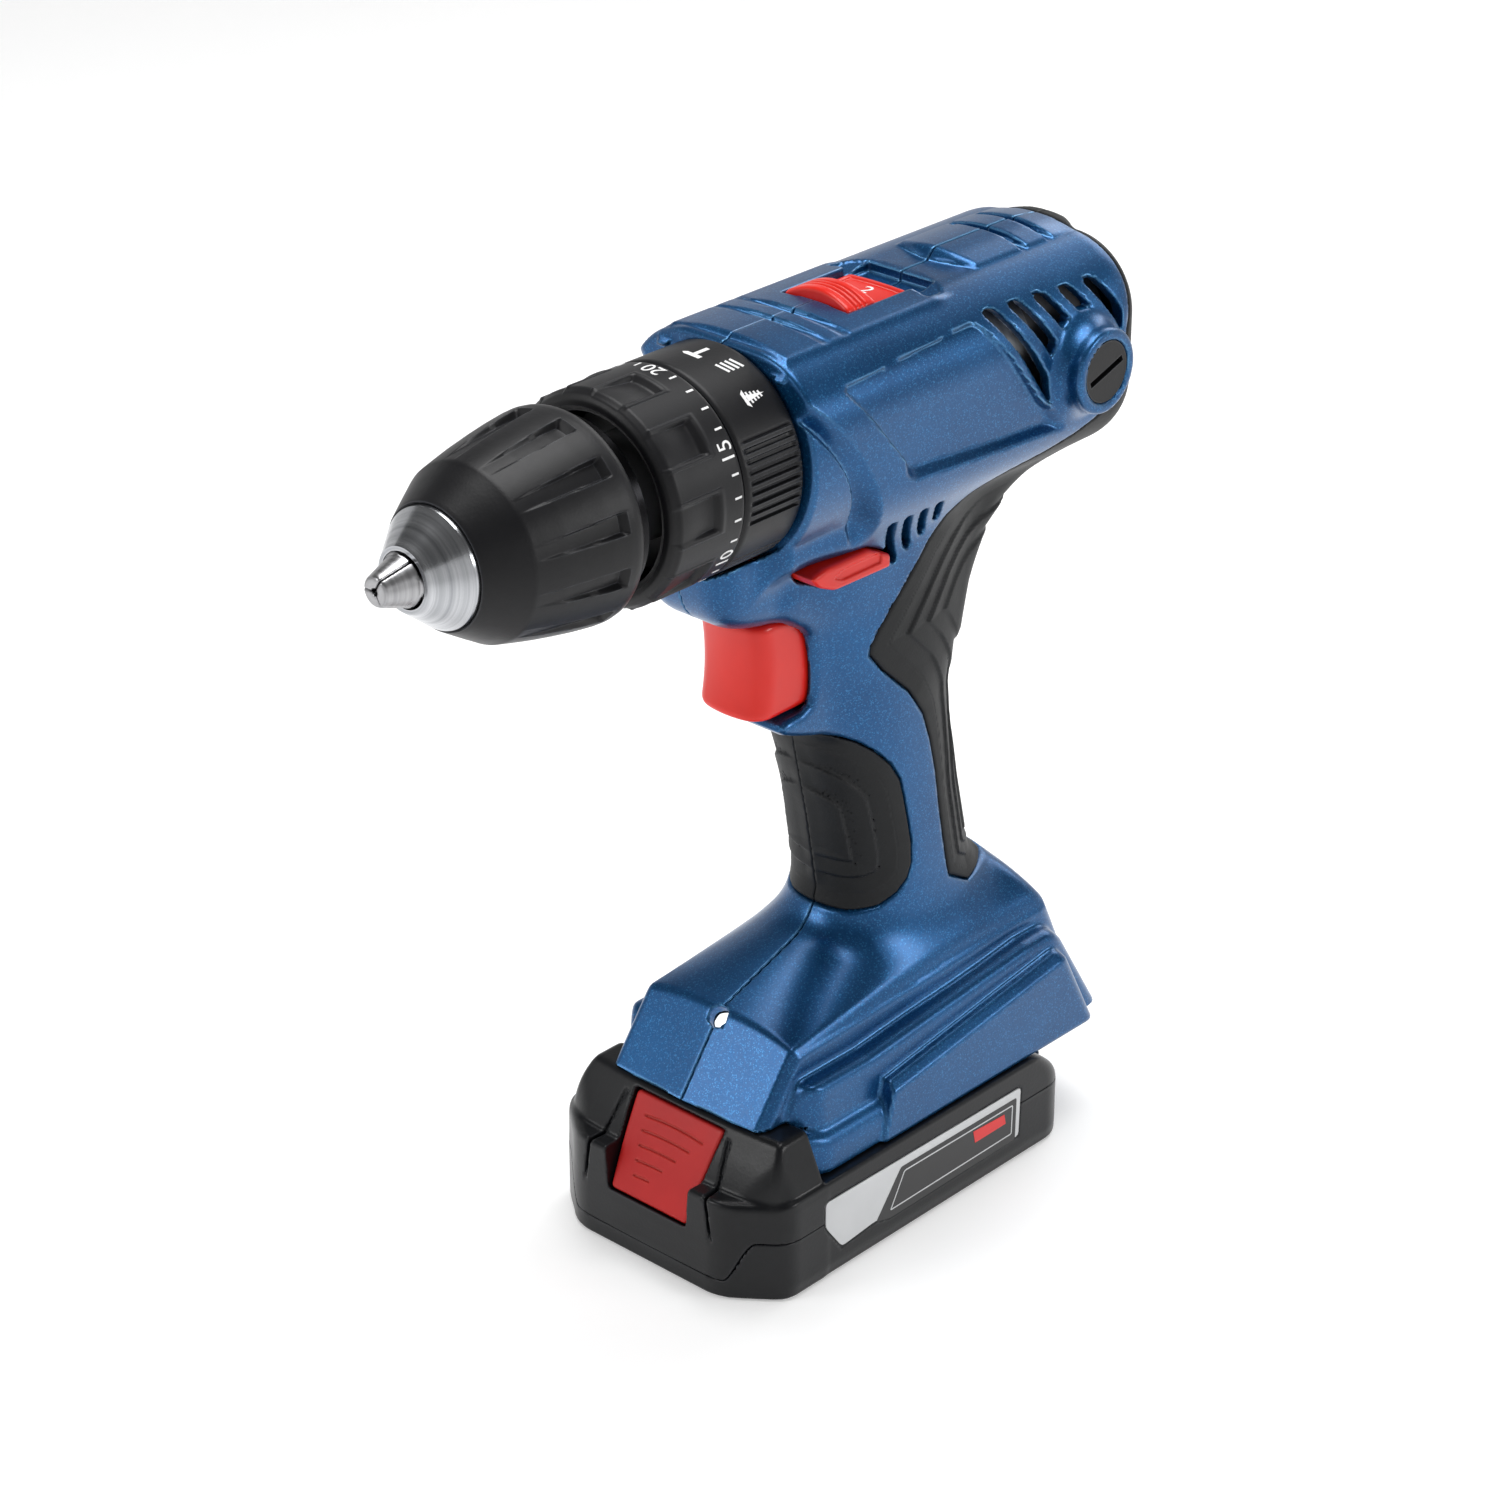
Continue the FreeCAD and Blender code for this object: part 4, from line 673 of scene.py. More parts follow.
def openings(x, y, z, side):
    # What is cut out of the housing: the front, the trigger, the switches and the battery's seat.
    a = np.abs(y)
    radius = np.hypot(y, z - axisHeight)
    lampX, lampZ = lightPlace["centre"]
    rings = np.minimum(smoothMax(radius - 26.3, 33.2 - x, 0.4), smoothMax(radius - 23.6, 20.0 - x, 0.6))
    finger = inAll(slab(z, 137.7, 163.3), a - 10.7, 2.0 - x)
    bar = faces(x, z, [
        (-0.8, 171.6), (19.0, 171.9), (24.3, 174.2), (27.5, 177.7), (22.6, 179.3), (7.2, 179.3),
        (-0.8, 175.5)], 0.3)
    slot = inAll(slab(x, -28.4, 1.8), a - 10.1, 226.0 - z)
    bowl = trimmed(np.hypot(x + 8.5, y) - 22.3, (x + 20.0, 0.5), (a - 15.2, 0.8),
                   (230.0 + 0.22 * (-22.0 - x) - z, 0.6))
    cap = smoothMax(fromBoss(x, z) - 7.75, 20.0 - a, 0.3)
    seat = inAll(a - 28.5, z - 38.5, -48.0 - x)
    block = np.maximum(38.1 - x, z - 40.0)
    light = np.hypot(a, (x - lampX) * 0.788 - (z - lampZ) * 0.616) - 2.62
    cut = inAny(rings, finger, bar, slot, bowl, cap, np.maximum(light, 46.0 - z), seat, block, slots(x, y, z))
    if side < 0:
        for hx, hz in screwHoles:
            cut = np.minimum(cut, np.hypot(x - hx, z - hz) - 3.3)
    return cut


def gripRegion(x, z):
    # Where the rubber lies, from the side: behind the handle and round the motor, and a pad in front.
    return outline(x, z, rearGripOutline), outline(x, z, frontGripOutline)


def housingField(side):
    def field(x, y, z):
        skin = bodySkin(x, y, z)
        rubber = inAll(inAny(*gripRegion(x, z)), 11.2 - fromBoss(x, z) - 40.0 * (np.abs(y) < 20))
        hollow = np.maximum(skin + body["wall"], 41.5 - z)
        solid = trimmed(
            skin, (-smoothMax(rubber, -(skin + body["gripDepth"]), 0.2), 0.7), (-hollow, 0.3),
            (-openings(x, y, z, side), 0.45))
        bowlFloor = inAll(slab(x, -33.0, 3.0), np.abs(y) - 11.5, slab(z, 227.2, 228.7))
        stem = np.maximum(slab(x, -20.0, 1.0), np.abs(y) - 3.6)
        rail = inAll(slab(z, 30.3, 32.7), slab(np.abs(y), 25.3, 29.0), slab(x, -47.5, 36.0))
        solid = inAny(solid, np.maximum(bowlFloor, -stem), rail)
        return smoothMax(solid, 0.015 - side * y, 0.22)
    return field


def ribs(region, pitch, lastFrom, lastTo):
    # Saw-tooth ribs that follow the edge of a rubber region inwards, and where they fade out.
    bands = -region / pitch
    part = bands - np.floor(bands)
    fade = step01(bands, 0.85, 1.05) * step01(-bands, lastFrom, lastTo)
    return (0.75 * part - 0.75 * step01(part, 0.80, 1.0)), fade


def rubberField(side):
    def field(x, y, z):
        skin = bodySkin(x, y, z)
        a = np.abs(y)
        rear, front = gripRegion(x, z)
        rearRib, rearFade = ribs(rear, 5.6 * (0.55 + 0.45 * step01(z, 100.0, 142.0)), -4.1, -3.6)
        frontRib, frontFade = ribs(front, 4.9, -4.1, -3.9)
        ridge = rearRib * (rearFade * step01(-z, -176.0, -168.0))
        ridge = np.where(front < 0, frontRib * frontFade, ridge)
        proud = skin + 0.1 + ridge * step01(a + 30.0, 30.0, 34.0)
        region = inAll(np.minimum(rear, front) + 0.16, 11.3 - fromBoss(x, z) - 40.0 * (a < 20))
        solid = np.maximum(smoothMax(proud, region, 1.1), -(skin + body["gripDepth"] - 0.1))
        if side < 0:
            for hx, hz in screwHoles:
                solid = np.maximum(solid, 3.3 - np.hypot(x - hx, z - hz))
        return smoothMax(solid, 0.015 - side * y, 0.2)
    return field


# Front rings

def ringPiece(name, rows, count, shape, material, closed=True):
    # A ring-like surface: rows of (x, radius) along a section, carried round the drill's axis.
    # shape(x, radius, angle) moves each point outwards or inwards, whole arrays at once.
    rows = np.array(rows, float)
    angle = np.linspace(0, 2 * math.pi, count, endpoint=False)
    x, turn = np.meshgrid(rows[:, 0], angle, indexing="ij")
    radius = np.broadcast_to(rows[:, 1:2], x.shape)
    radius = shape(x, radius, turn)
    points = np.stack([x, radius * np.cos(turn), axisHeight + radius * np.sin(turn)], -1).reshape(-1, 3)
    n = len(rows)
    i = np.arange(n if closed else n - 1)[:, None]
    j = np.arange(count)[None, :]
    a, b = i * count + j, i * count + (j + 1) % count
    c, d = ((i + 1) % n) * count + (j + 1) % count, ((i + 1) % n) * count + j
    quads = np.stack([a, b, c, d], -1).reshape(-1, 4)
    made = makeMesh(name, points, quads, None, material, sharp=38)
    print("piece", name, "triangles", 2 * len(quads))
    return made


def densify(section, step):
    # The closed section with points added so that none is further apart than step.
    points = []
    for (ax, ar), (bx, br) in zip(section, section[1:] + section[:1]):
        count = max(1, int(math.ceil(math.hypot(bx - ax, br - ar) / step)))
        for k in range(count):
            points.append((ax + (bx - ax) * k / count, ar + (br - ar) * k / count))
    return points


def wrapped(turn, centre):
    return (turn - centre + math.pi) % (2 * math.pi) - math.pi


modeRing = {"ribPitch": 5.4, "ribDepth": 1.0}


def modeShape(x, radius, turn):
    degrees = np.degrees(wrapped(turn, math.radians(90)))
    outer = step01(radius, 24.6, 25.2)
    away = np.abs(degrees)
    onRibs = step01(away, 59.0, 62.0) * (1 - step01(away, 104.0, 107.0)) + step01(away, 127.0, 129.0)
    phase = np.cos((away - 60.0) * 2 * math.pi / modeRing["ribPitch"])
    along = step01(x, 33.9, 35.4) * (1 - step01(x, 49.4, 51.0))
    return radius - outer * onRibs * along * modeRing["ribDepth"] * step01(phase, -0.25, 0.45)


modePiece = ringPiece("mode_ring_body", densify([
    (33.4, 23.2), (33.4, 24.9), (33.9, 25.4), (34.3, 25.6), (51.3, 25.6), (51.9, 25.4), (52.3, 24.9),
    (52.3, 23.2)], 0.7), 810, modeShape, ringBlack)
finishPiece(modePiece, "mode_ring", "black_plastic", "mode_ring")

torqueRing = {"lugs": 9, "lugPhase": 81.0, "recess": 1.25, "rise": 0.25}


def torqueShape(x, radius, turn):
    outer = step01(radius, 24.0, 25.0)
    pitch = 2 * math.pi / torqueRing["lugs"]
    local = np.degrees((turn - math.radians(torqueRing["lugPhase"]) + pitch / 2) % pitch - pitch / 2)
    inward = -np.abs(local)
    # each recess is open to the front and bounded by a thin raised bracket
    floor = step01(inward, -10.2, -8.8) * step01(x, 60.9, 62.0)
    bracket = step01(inward, -12.4, -11.8)
    begin = step01(x, 59.2, 59.8)
    lip = bracket * (1 - step01(inward, -10.8, -10.2)) * begin
    rear = bracket * begin * (1 - step01(x, 60.6, 61.1))
    raised = np.maximum(lip, rear) * (1 - step01(x, 72.6, 73.6))
    slope = torqueRing["recess"] * (1 - 0.8 * step01(x, 61.5, 72.0))
    return radius - outer * (floor * slope - raised * torqueRing["rise"])


torquePiece = ringPiece("torque_ring_body", densify([
    (52.7, 23.0), (52.7, 24.9), (53.1, 25.4), (53.5, 25.6), (72.8, 25.6), (74.3, 24.6), (75.0, 23.2),
    (75.0, 21.9), (74.6, 21.5), (74.2, 20.6)], 0.6), 720, torqueShape, ringBlack)
finishPiece(torquePiece, "torque_ring", "black_plastic", "torque_ring")

sleeve = {"flutes": 12, "phase": 75.0, "start": 88.4, "end": 112.0, "depth": 1.9, "width": 12.5}


def sleeveShape(x, radius, turn):
    outer = step01(radius, 18.2 + 0.24 * (112.0 - x), 18.8 + 0.24 * (112.0 - x))
    pitch = 360.0 / sleeve["flutes"]
    local = (np.degrees(turn) - sleeve["phase"] + pitch / 2) % pitch - pitch / 2
    # a flute is scooped across, squared off at the rear and fades out towards the nose
    half = sleeve["width"] / 2 - 0.06 * (x - sleeve["start"])
    across = 1 - step01(np.abs(local), half - 1.3, half)
    begin = step01(x, sleeve["start"] - 0.4, sleeve["start"] + 1.2)
    fade = np.clip((sleeve["end"] - x) / (sleeve["end"] - sleeve["start"]), 0, 1)
    return radius - outer * sleeve["depth"] * across * begin * fade


sleeveOuter = [
    (83.4, 22.4), (83.4, 23.9), (83.8, 24.6), (84.6, 25.0), (86.0, 25.2), (88.0, 25.1), (93.0, 24.5),
    (98.0, 23.7), (104.0, 22.6), (109.0, 21.5), (112.4, 20.7), (113.4, 20.1), (116.0, 18.6), (118.5, 17.1),
    (121.0, 15.6), (122.0, 15.0), (122.5, 14.6), (122.3, 14.2), (121.5, 14.1), (118.5, 15.6),
    (108.6, 18.0), (94.2, 22.1)]
sleevePiece = ringPiece("chuck_sleeve_body", densify(sleeveOuter, 0.8), 600, sleeveShape, ringBlack)
finishPiece(sleevePiece, "chuck_sleeve", "black_plastic", "chuck_sleeve")


# Housing, grips

bodyGrid = {
    "x": [(-87.0, 0.9), (49.0, 0)],
    "y": 0.85,
    "z": [(26.0, 0.9), (62.0, 1.2), (160.0, 0.85), (236.0, 0)],
}


def halfStations(side, step):
    across = span(-0.7, 37.8, step)
    return across if side > 0 else -across[::-1]


bodyX, bodyZ = stations(*bodyGrid["x"]), stations(*bodyGrid["z"])
for side, sideName in ((1, "left"), (-1, "right")):
    shell = fieldPiece("housing_%s_body" % sideName, housingField(side), bodyX,
                       halfStations(side, bodyGrid["y"]), bodyZ, finishes["blue_housing"])
    finishPiece(shell, "housing", "blue_housing", "housing_" + sideName)
    pads = fieldPiece("grips_%s_body" % sideName, rubberField(side), span(-87.0, 31.0, 0.6),
                      halfStations(side, 0.6), span(70.0, 233.0, 0.6), finishes["grip_rubber"])
    finishPiece(pads, "housing", "grip_rubber", "soft_grips_" + sideName)


# Jaws: pins in the chuck that end in a third of a cone each

jaws = {"cross": 142.0, "tilt": 15.0, "radius": 3.6, "rear": 112.0, "face": 131.7, "base": 6.1, "tip": 3.4,
        "coneLength": 8.0, "end": 139.7, "bore": 0.85, "gap": 0.14}


def jawField(turn):
    towards = (math.cos(turn), math.sin(turn))

    def field(x, y, z):
        u = y * towards[0] + (z - axisHeight) * towards[1]
        v = -y * towards[1] + (z - axisHeight) * towards[0]
        a = math.radians(jaws["tilt"])
        away = (jaws["cross"] - x) * math.sin(a) - u * math.cos(a)
        pin = inAll(np.hypot(away, v) - jaws["radius"], jaws["rear"] - x, x - jaws["face"] - 0.5)
        radius = np.hypot(u, v)
        cone = radius - (jaws["base"] + (jaws["tip"] - jaws["base"]) * (x - jaws["face"]) / jaws["coneLength"])
        tip = np.maximum(smoothMax(cone, x - jaws["end"], 0.8), jaws["face"] - x)
        wedge = np.abs(v) * math.cos(math.pi / 3) - u * math.sin(math.pi / 3) + jaws["gap"]
        solid = inAll(np.minimum(pin, tip), jaws["bore"] - radius, radius - 20.0)
        return smoothMax(solid, wedge, 0.25)
    return field


jawBack, jawFront = 11.5, 6.4     # how far a jaw reaches from the axis at its rear and at its tip
for i in range(3):
    jawTurn = 2 * math.pi * i / 3
    reachY, reachZ = math.cos(jawTurn), math.sin(jawTurn)
    flank = 3.8 * abs(reachZ) + 0.4
    spanY = sorted((-3.8 * abs(reachZ) - 0.4, jawBack * reachY + flank * (1 if reachY > 0 else -1)))
    lowY, highY = min(spanY[0], -jawFront), max(spanY[1], jawFront)
    lowZ, highZ = min(jawBack * reachZ - 4.2, -jawFront), max(jawBack * reachZ + 4.2, jawFront)
    jawName = "jaw_%d" % (i + 1)
    jawPiece = fieldPiece(jawName + "_body", jawField(jawTurn), span(111.5, 140.2, 0.4),
                          span(lowY, highY, 0.32), span(axisHeight + lowZ, axisHeight + highZ, 0.32), jawSteel)
    finishPiece(jawPiece, jawName, "chuck_steel", jawName)


# Trigger, selector, direction bar

trigger = {"low": 138.0, "high": 163.0, "half": 10.4, "face": 33.4, "dish": 1.5, "wall": 2.2}


def triggerField(x, y, z):
    t = trigger
    middle = (t["low"] + t["high"]) / 2
    # the finger face is hollowed a little between its two ends and crowned across
    dish = 1.0 - np.clip(((z - middle) / 12.5) ** 2, 0, 1.4)
    face = x - (t["face"] - t["dish"] * dish - 0.020 * y * y)
    solid = trimmed(face, (np.abs(y) - t["half"], 4.2), (slab(z, t["low"], t["high"]), 2.6), (9.0 - x, 0.4))
    inner = inAll(x - 28.0, np.abs(y) - t["half"] + t["wall"],
                  slab(z, t["low"] + t["wall"], t["high"] - t["wall"]))
    stem = inAll(slab(x, -4.0, 28.6), np.abs(y) - 3.0, slab(z, 147.0, 153.0))
    return smoothMin(np.maximum(solid, -inner), stem, 0.6)


triggerPiece = fieldPiece("trigger_body", triggerField, span(-5.0, 35.0, 0.5), span(-11.0, 11.0, 0.45),
                          span(137.0, 164.0, 0.45), finishes["red_plastic"])
finishPiece(triggerPiece, "trigger", "red_plastic", "trigger")

selector = {"front": 1.5, "rear": -21.5, "half": 9.8, "plate": 230.6, "ridge": 235.3, "crown": 0.0035}


def selectorField(x, y, z):
    s = selector
    a = np.abs(y)
    plateTop = s["plate"] - s["crown"] * a * a
    plate = trimmed(slab(x, s["rear"], s["front"]), (a - s["half"], 0.8), (slab(z, 229.4, plateTop), 0.5))
    rim = smoothMax(slab(x, s["rear"] + 1.3, -10.4), a - 8.4, 1.0)
    plate = smoothMax(plate, -smoothMax(rim, s["plate"] - 0.55 - s["crown"] * a * a - z, 0.3), 0.4)
    top = s["ridge"] - 0.032 * a * a
    lift = faces(x, z, [
        (-9.4, 229.6), (1.5, 229.6), (1.5, 233.8), (0.1, 240.0), (-5.2, 240.0), (-8.2, 233.0)], 0.8)
    ridge = trimmed(lift, (a - s["half"], 1.0), (z - top, 1.0))
    for line in (-4.6, -3.1, -1.6):
        ridge = smoothMax(ridge, -smoothMax(np.abs(x - line) - 0.35, top - 0.55 - z, 0.2), 0.3)
    stem = inAll(slab(x, -12.0, -8.0), a - 3.0, slab(z, 228.9, 230.0))
    return smoothMin(smoothMin(plate, ridge, 0.8), stem, 0.2)


selectorPiece = fieldPiece("gear_selector_body", selectorField, span(-22.0, 2.0, 0.3),
                           span(-10.2, 10.2, 0.35), span(228.6, 235.9, 0.3), finishes["red_plastic"])
finishPiece(selectorPiece, "gear_selector", "red_plastic", "gear_selector")


def barField(x, y, z):
    side = faces(x, z, [
        (-0.4, 172.0), (18.9, 172.3), (24.1, 174.6), (26.9, 177.6), (22.4, 178.9), (7.4, 178.9),
        (-0.4, 175.2)], 0.5)
    arrow = faces(x, z, [(3.0, 174.3), (16.5, 174.3), (19.5, 175.6), (16.5, 176.9), (3.0, 176.9)], 0.5)
    solid = trimmed(side, (np.abs(y) - 22.5, 1.4), (-smoothMax(arrow, 21.9 - np.abs(y), 0.3), 0.4))
    return np.maximum(solid, -np.maximum(np.abs(y) - 8.0, z - 174.0))


barPiece = fieldPiece("direction_bar_body", barField, span(-1.4, 26.8, 0.4), span(-23.0, 23.0, 0.5),
                      span(172.0, 179.2, 0.35), finishes["red_plastic"])
finishPiece(barPiece, "direction_bar", "red_plastic", "direction_bar")


def lightField(x, y, z):
    # A clear dome with a faceted reflector look.
    a = math.radians(lightPlace["tilt"])
    cx, cz = lightPlace["centre"]
    along = (x - cx) * math.cos(a) + (z - cz) * math.sin(a)
    down = (x - cx) * math.sin(a) - (z - cz) * math.cos(a)
    away = np.sqrt(down ** 2 + y * y)
    ring = np.cos(np.arctan2(y, down) * lightPlace["facets"])
    dome = along - 1.4 + 0.16 * away ** 2 - 0.10 * ring * np.clip(away - 0.6, 0, 1)
    return trimmed(away - lightPlace["radius"], (dome, 0.5), (-8.0 - along, 0.3))


lightPiece = fieldPiece("work_light_body", lightField, span(26.0, 38.0, 0.25), span(-3.0, 3.0, 0.22),
                        span(46.5, 60.0, 0.25), finishes["lens"])
finishPiece(lightPiece, "housing", "lens", "led_lens")
print("controls made")


# Battery pack

battery = {
    "half": 37.3, "rear": -58.0, "front": 60.9, "shoulder": 26.6, "seam": 15.8, "frontDrop": 11.2,
    "slopeTop": (48.9, 37.4), "slopeDown": (0.478, -0.878), "wall": 2.4, "pocketDepth": 7.5,
}


def onSlope(x, z):
    # How far down the sloping front, and how far out from it.
    dx, dz = x - battery["slopeTop"][0], z - battery["slopeTop"][1]
    slopeX, slopeZ = battery["slopeDown"]
    return dx * slopeX + dz * slopeZ, -dx * slopeZ + dz * slopeX


def packField(x, y, z):
    b = battery
    a = np.abs(y)
    side = a - b["half"] + 0.5 * step01(-z, -4.0, 0.0)
    corner = (x - 50.0) * 0.776 + (a - b["half"]) * 0.631
    rearEnd = np.maximum(b["rear"] - x, ((-x - 43.8) * 0.665 + (z - 27.8) * 0.747))
    rearCorner = (-x - 51.5) * 0.707 + (a - b["half"]) * 0.707
    low = trimmed(side, (z - b["shoulder"], 1.2), (smoothMax(rearEnd, rearCorner, 3.0), 3.0),
                  (x - b["front"], 1.5), (corner, 3.0))
    bow = 0.0016 * a * a
    front = faces(x + bow, z, [
        (38.4, -3), (56.0, -3), (60.9, 4.5), (60.9, 15.6), (55.8, 27.8), (48.0, 39.7), (38.4, 39.7)], 1.4)
    taper = (a - 37.3 + 0.40 * np.maximum(z - 24.0, 0)) * 0.93
    block = trimmed(front, (taper, 1.6), (corner + 0.10 * np.maximum(z - 15.0, 0), 3.2), (side, 0.6))
    solid = smoothMax(smoothMin(low, block, 0.8), -z, 0.8)
    rails = inAll(slab(x, -61.6, 38.3), slab(z, 30.0, 33.0), -(a - 25.0))
    tongue = inAll(slab(x, -47.5, 40.4), slab(z, 20, 38.2), a - 28.2, -rails)
    return smoothMin(solid, tongue, 0.3)


def seamHeight(x, y):
    # the joint runs level round the sides and drops under the button to a low front lip
    a = np.abs(y)
    drop = step01(-a, -31.0, -24.0) * step01(x, 42.0, 50.0)
    return battery["seam"] - battery["frontDrop"] * drop


def buttonPocket(x, y, z, room):
    t, h = onSlope(x, z)
    half = 14.4 - 0.075 * t + room
    return smoothMax(np.abs(y) - half, slab(t, -0.5 - room, 24.4 + room), 1.2), h


def caseField(upper):
    def field(x, y, z):
        solid = packField(x, y, z)
        a = np.abs(y)
        joint = z - seamHeight(x, y)
        t, h = onSlope(x, z)
        # two creases frame the button and run on down the front
        # two creases frame the button and run on down the front
        crease = inAll(np.abs(a - (16.8 + 0.16 * t)) - 0.42, -0.45 - h, 30.0 - x)
        label = np.maximum(outline(x, z, labelOutline), 36.95 - a)
        pocket, _ = buttonPocket(x, y, z, 0.5)
        hollow = np.maximum(solid + battery["wall"], -np.maximum(pocket - 1.6, -battery["pocketDepth"] - 1.3 - h))
        solid = trimmed(solid, (-smoothMax(crease, z - 36.5, 0.5), 0.5), (-label, 0.2),
                        (-np.maximum(pocket, -battery["pocketDepth"] - h), 0.35))
        solid = np.maximum(solid, -hollow)
        for line in (-12.0, -4.0, 4.0, 12.0):
            slot = np.maximum(np.abs(y - line) - 1.2, np.maximum(slab(x, -60.0, 2.0), 34.0 - z))
            solid = np.maximum(solid, -slot)
        for hx in (-52.0, 49.5):
            solid = np.maximum(solid, -np.maximum(np.hypot(x - hx, a - 29.0) - 2.5, z - 3.0))
        cut = joint - 0.12 if not upper else 0.12 - joint
        return smoothMax(solid, cut, 0.45)
    return field


labelOutline = [
    (37.7, 14.4), (37.7, 20.8), (36.5, 22.1), (-36.0, 21.4), (-37.0, 20.4), (-36.6, 6.2), (13.5, 5.8),
    (19.2, 7.1), (31.5, 5.9)]
packX = stations((-59.0, 0.8), (36.0, 0.6), (61.5, 0))
packY = span(-37.9, 37.9, 0.7)
for upper, name, zs in ((True, "upper", span(3.2, 40.4, 0.6)), (False, "lower", span(-0.6, 17.0, 0.6))):
    case = fieldPiece("battery_%s_body" % name, caseField(upper), packX, packY, zs, batteryBlack)
    finishPiece(case, "battery", "black_plastic", "battery_%s_case" % name)


def buttonField(x, y, z):
    t, h = onSlope(x, z)
    plan, _ = buttonPocket(x, y, z, 0.0)
    lines = []
    for i in range(5):
        centre = 4.2 + 3.7 * i + 0.006 * y * y
        start, end = -9.4 + 0.6 * i, 9.8 - 2.9 * i
        lines.append(smoothMax(np.abs(t - centre) - 0.28, np.maximum(start - y, y - end), 0.3))
    swell = 0.5 * np.clip(1 - ((t - 12) / 13) ** 2, 0, 1) - 0.5
    return trimmed(plan, (h - 0.1 - swell, 0.9), (-4.0 - h, 0.4),
                   (-smoothMax(inAny(*lines), -0.5 + swell - h, 0.2), 0.3))


buttonPiece = fieldPiece("battery_button_body", buttonField, span(43.0, 62.0, 0.32), span(-15.5, 15.5, 0.4),
                         span(13.0, 40.5, 0.32), finishes["dark_red_plastic"])
finishPiece(buttonPiece, "battery_button", "dark_red_plastic", "battery_button")
print("battery made")

# Side labels of the pack, blank but for their colour fields


def flatPiece(name, points, inner, side, low, high, material):
    # a thin plate in the plane of x and z; with inner it is a frame between two outlines
    count = len(points)
    loops = [(points, low), (points, high)]
    if inner:
        loops += [(inner, high), (inner, low)]
    verts = np.array([(u, side * y, v) for loop, y in loops for u, v in loop], float)
    quads = []
    pairs = [(0, 1), (1, 2), (2, 3), (3, 0)] if inner else [(0, 1)]
    for p, q in pairs:
        for i in range(count):
            j = (i + 1) % count
            quads.append((p * count + i, p * count + j, q * count + j, q * count + i))
    ends = [] if inner else [tuple(range(count))[::-1], tuple(range(count, 2 * count))]
    return solidPiece(name, verts, quads + ends, material)


def cornered(points, size):
    # each corner becomes three points, the outer two a fixed way along its sides
    p = np.array(points, float)
    result = []
    for before, here, after in zip(np.roll(p, 1, 0), p, np.roll(p, -1, 0)):
        back, on = before - here, after - here
        a, b = here + back / np.hypot(*back) * size, here + on / np.hypot(*on) * size
        result += [tuple(a), tuple((a + b + here * 2) / 4), tuple(b)]
    return result


def insetLoop(points, inset):
    # the outline moved inwards, each corner along the sum of its two sides' normals
    p = np.array(points, float)
    before, after = p - np.roll(p, 1, 0), np.roll(p, -1, 0) - p
    before /= np.linalg.norm(before, axis=1, keepdims=True)
    after /= np.linalg.norm(after, axis=1, keepdims=True)
    normal = np.stack([before[:, 1] + after[:, 1], -before[:, 0] - after[:, 0]], 1)
    normal /= (1.0 + (before * after).sum(1, keepdims=True)).clip(0.3)
    area2 = (p[:, 0] * np.roll(p[:, 1], -1) - np.roll(p[:, 0], -1) * p[:, 1]).sum()
    return [tuple(q) for q in p - normal * inset * (1 if area2 > 0 else -1)]


greyField = cornered([
    (37.2, 14.6), (37.2, 21.6), (-36.6, 20.9), (-36.2, 6.9), (13.4, 6.6), (19.0, 7.8), (31.2, 6.6)], 1.1)
blackField = cornered([(9.6, 19.0), (-35.0, 18.6), (-34.8, 6.4), (13.4, 6.1), (18.6, 7.4)], 0.6)
lineField = cornered([(8.4, 17.6), (-33.6, 17.2), (-33.4, 8.6), (13.6, 8.2)], 0.6)
redField = [(-18.0, 16.4), (-30.2, 15.8), (-30.8, 12.9), (-18.8, 12.8)]
for side, sideName in ((1, "left"), (-1, "right")):
    for part, points, inner, low, high, finish in (
            ("plate", greyField, None, 36.9, 37.30, labelGrey),
            ("field", blackField, None, 37.2, 37.36, labelBlack),
            ("frame", lineField, insetLoop(lineField, 0.35), 37.3, 37.40, labelGrey),
            ("mark", redField, None, 37.3, 37.42, redMark)):
        made = flatPiece("label_%s_%s" % (part, sideName), points, inner, side, low, high, finish)
        finishPiece(made, "battery")
print("labels made")

# Numbers, ticks and signs on the rings

signs = {"radius": 25.6, "rise": 0.10, "numberSize": 5.6, "numberX": 55.6}


def figureSolid(name, low, high, loops, material):
    # A flat figure given at two levels, closed by walls along its open edges.
    n = len(low)
    edges = dict.fromkeys((a, b) for loop in loops for a, b in zip(loop, loop[1:] + loop[:1]))
    walls = [(a, b, n + b, n + a) for a, b in edges if (b, a) not in edges]
    top = [tuple(n + i for i in loop) for loop in loops]
    bottom = [tuple(reversed(loop)) for loop in loops]
    return solidPiece(name, np.concatenate([low, high]), top + bottom + walls, material)


def wrappedPiece(name, u, v, loops, x0, degrees, owner):
    # flat figures are laid round the ring: their height runs along x and their width round it
    angle = math.radians(degrees) + u / signs["radius"]
    levels = []
    for lift in (-0.25, signs["rise"]):
        r = signs["radius"] + lift
        levels.append(np.stack([x0 + v, r * np.cos(angle), axisHeight + r * np.sin(angle)], -1))
    return finishPiece(figureSolid(name, *levels, loops, white), owner)


def figure(text, size):
    curve = bpy.data.curves.new("figure", "FONT")
    curve.body, curve.size, curve.align_x, curve.align_y = text, size, "CENTER", "CENTER"
    curve.resolution_u = 5
    holder = linked("figure", curve)
    bpy.context.view_layer.update()
    mesh = bpy.data.meshes.new_from_object(holder)
    bpy.data.objects.remove(holder)
    points = np.array([v.co[:] for v in mesh.vertices])
    return points[:, 0], points[:, 1], [tuple(p.vertices) for p in mesh.polygons]


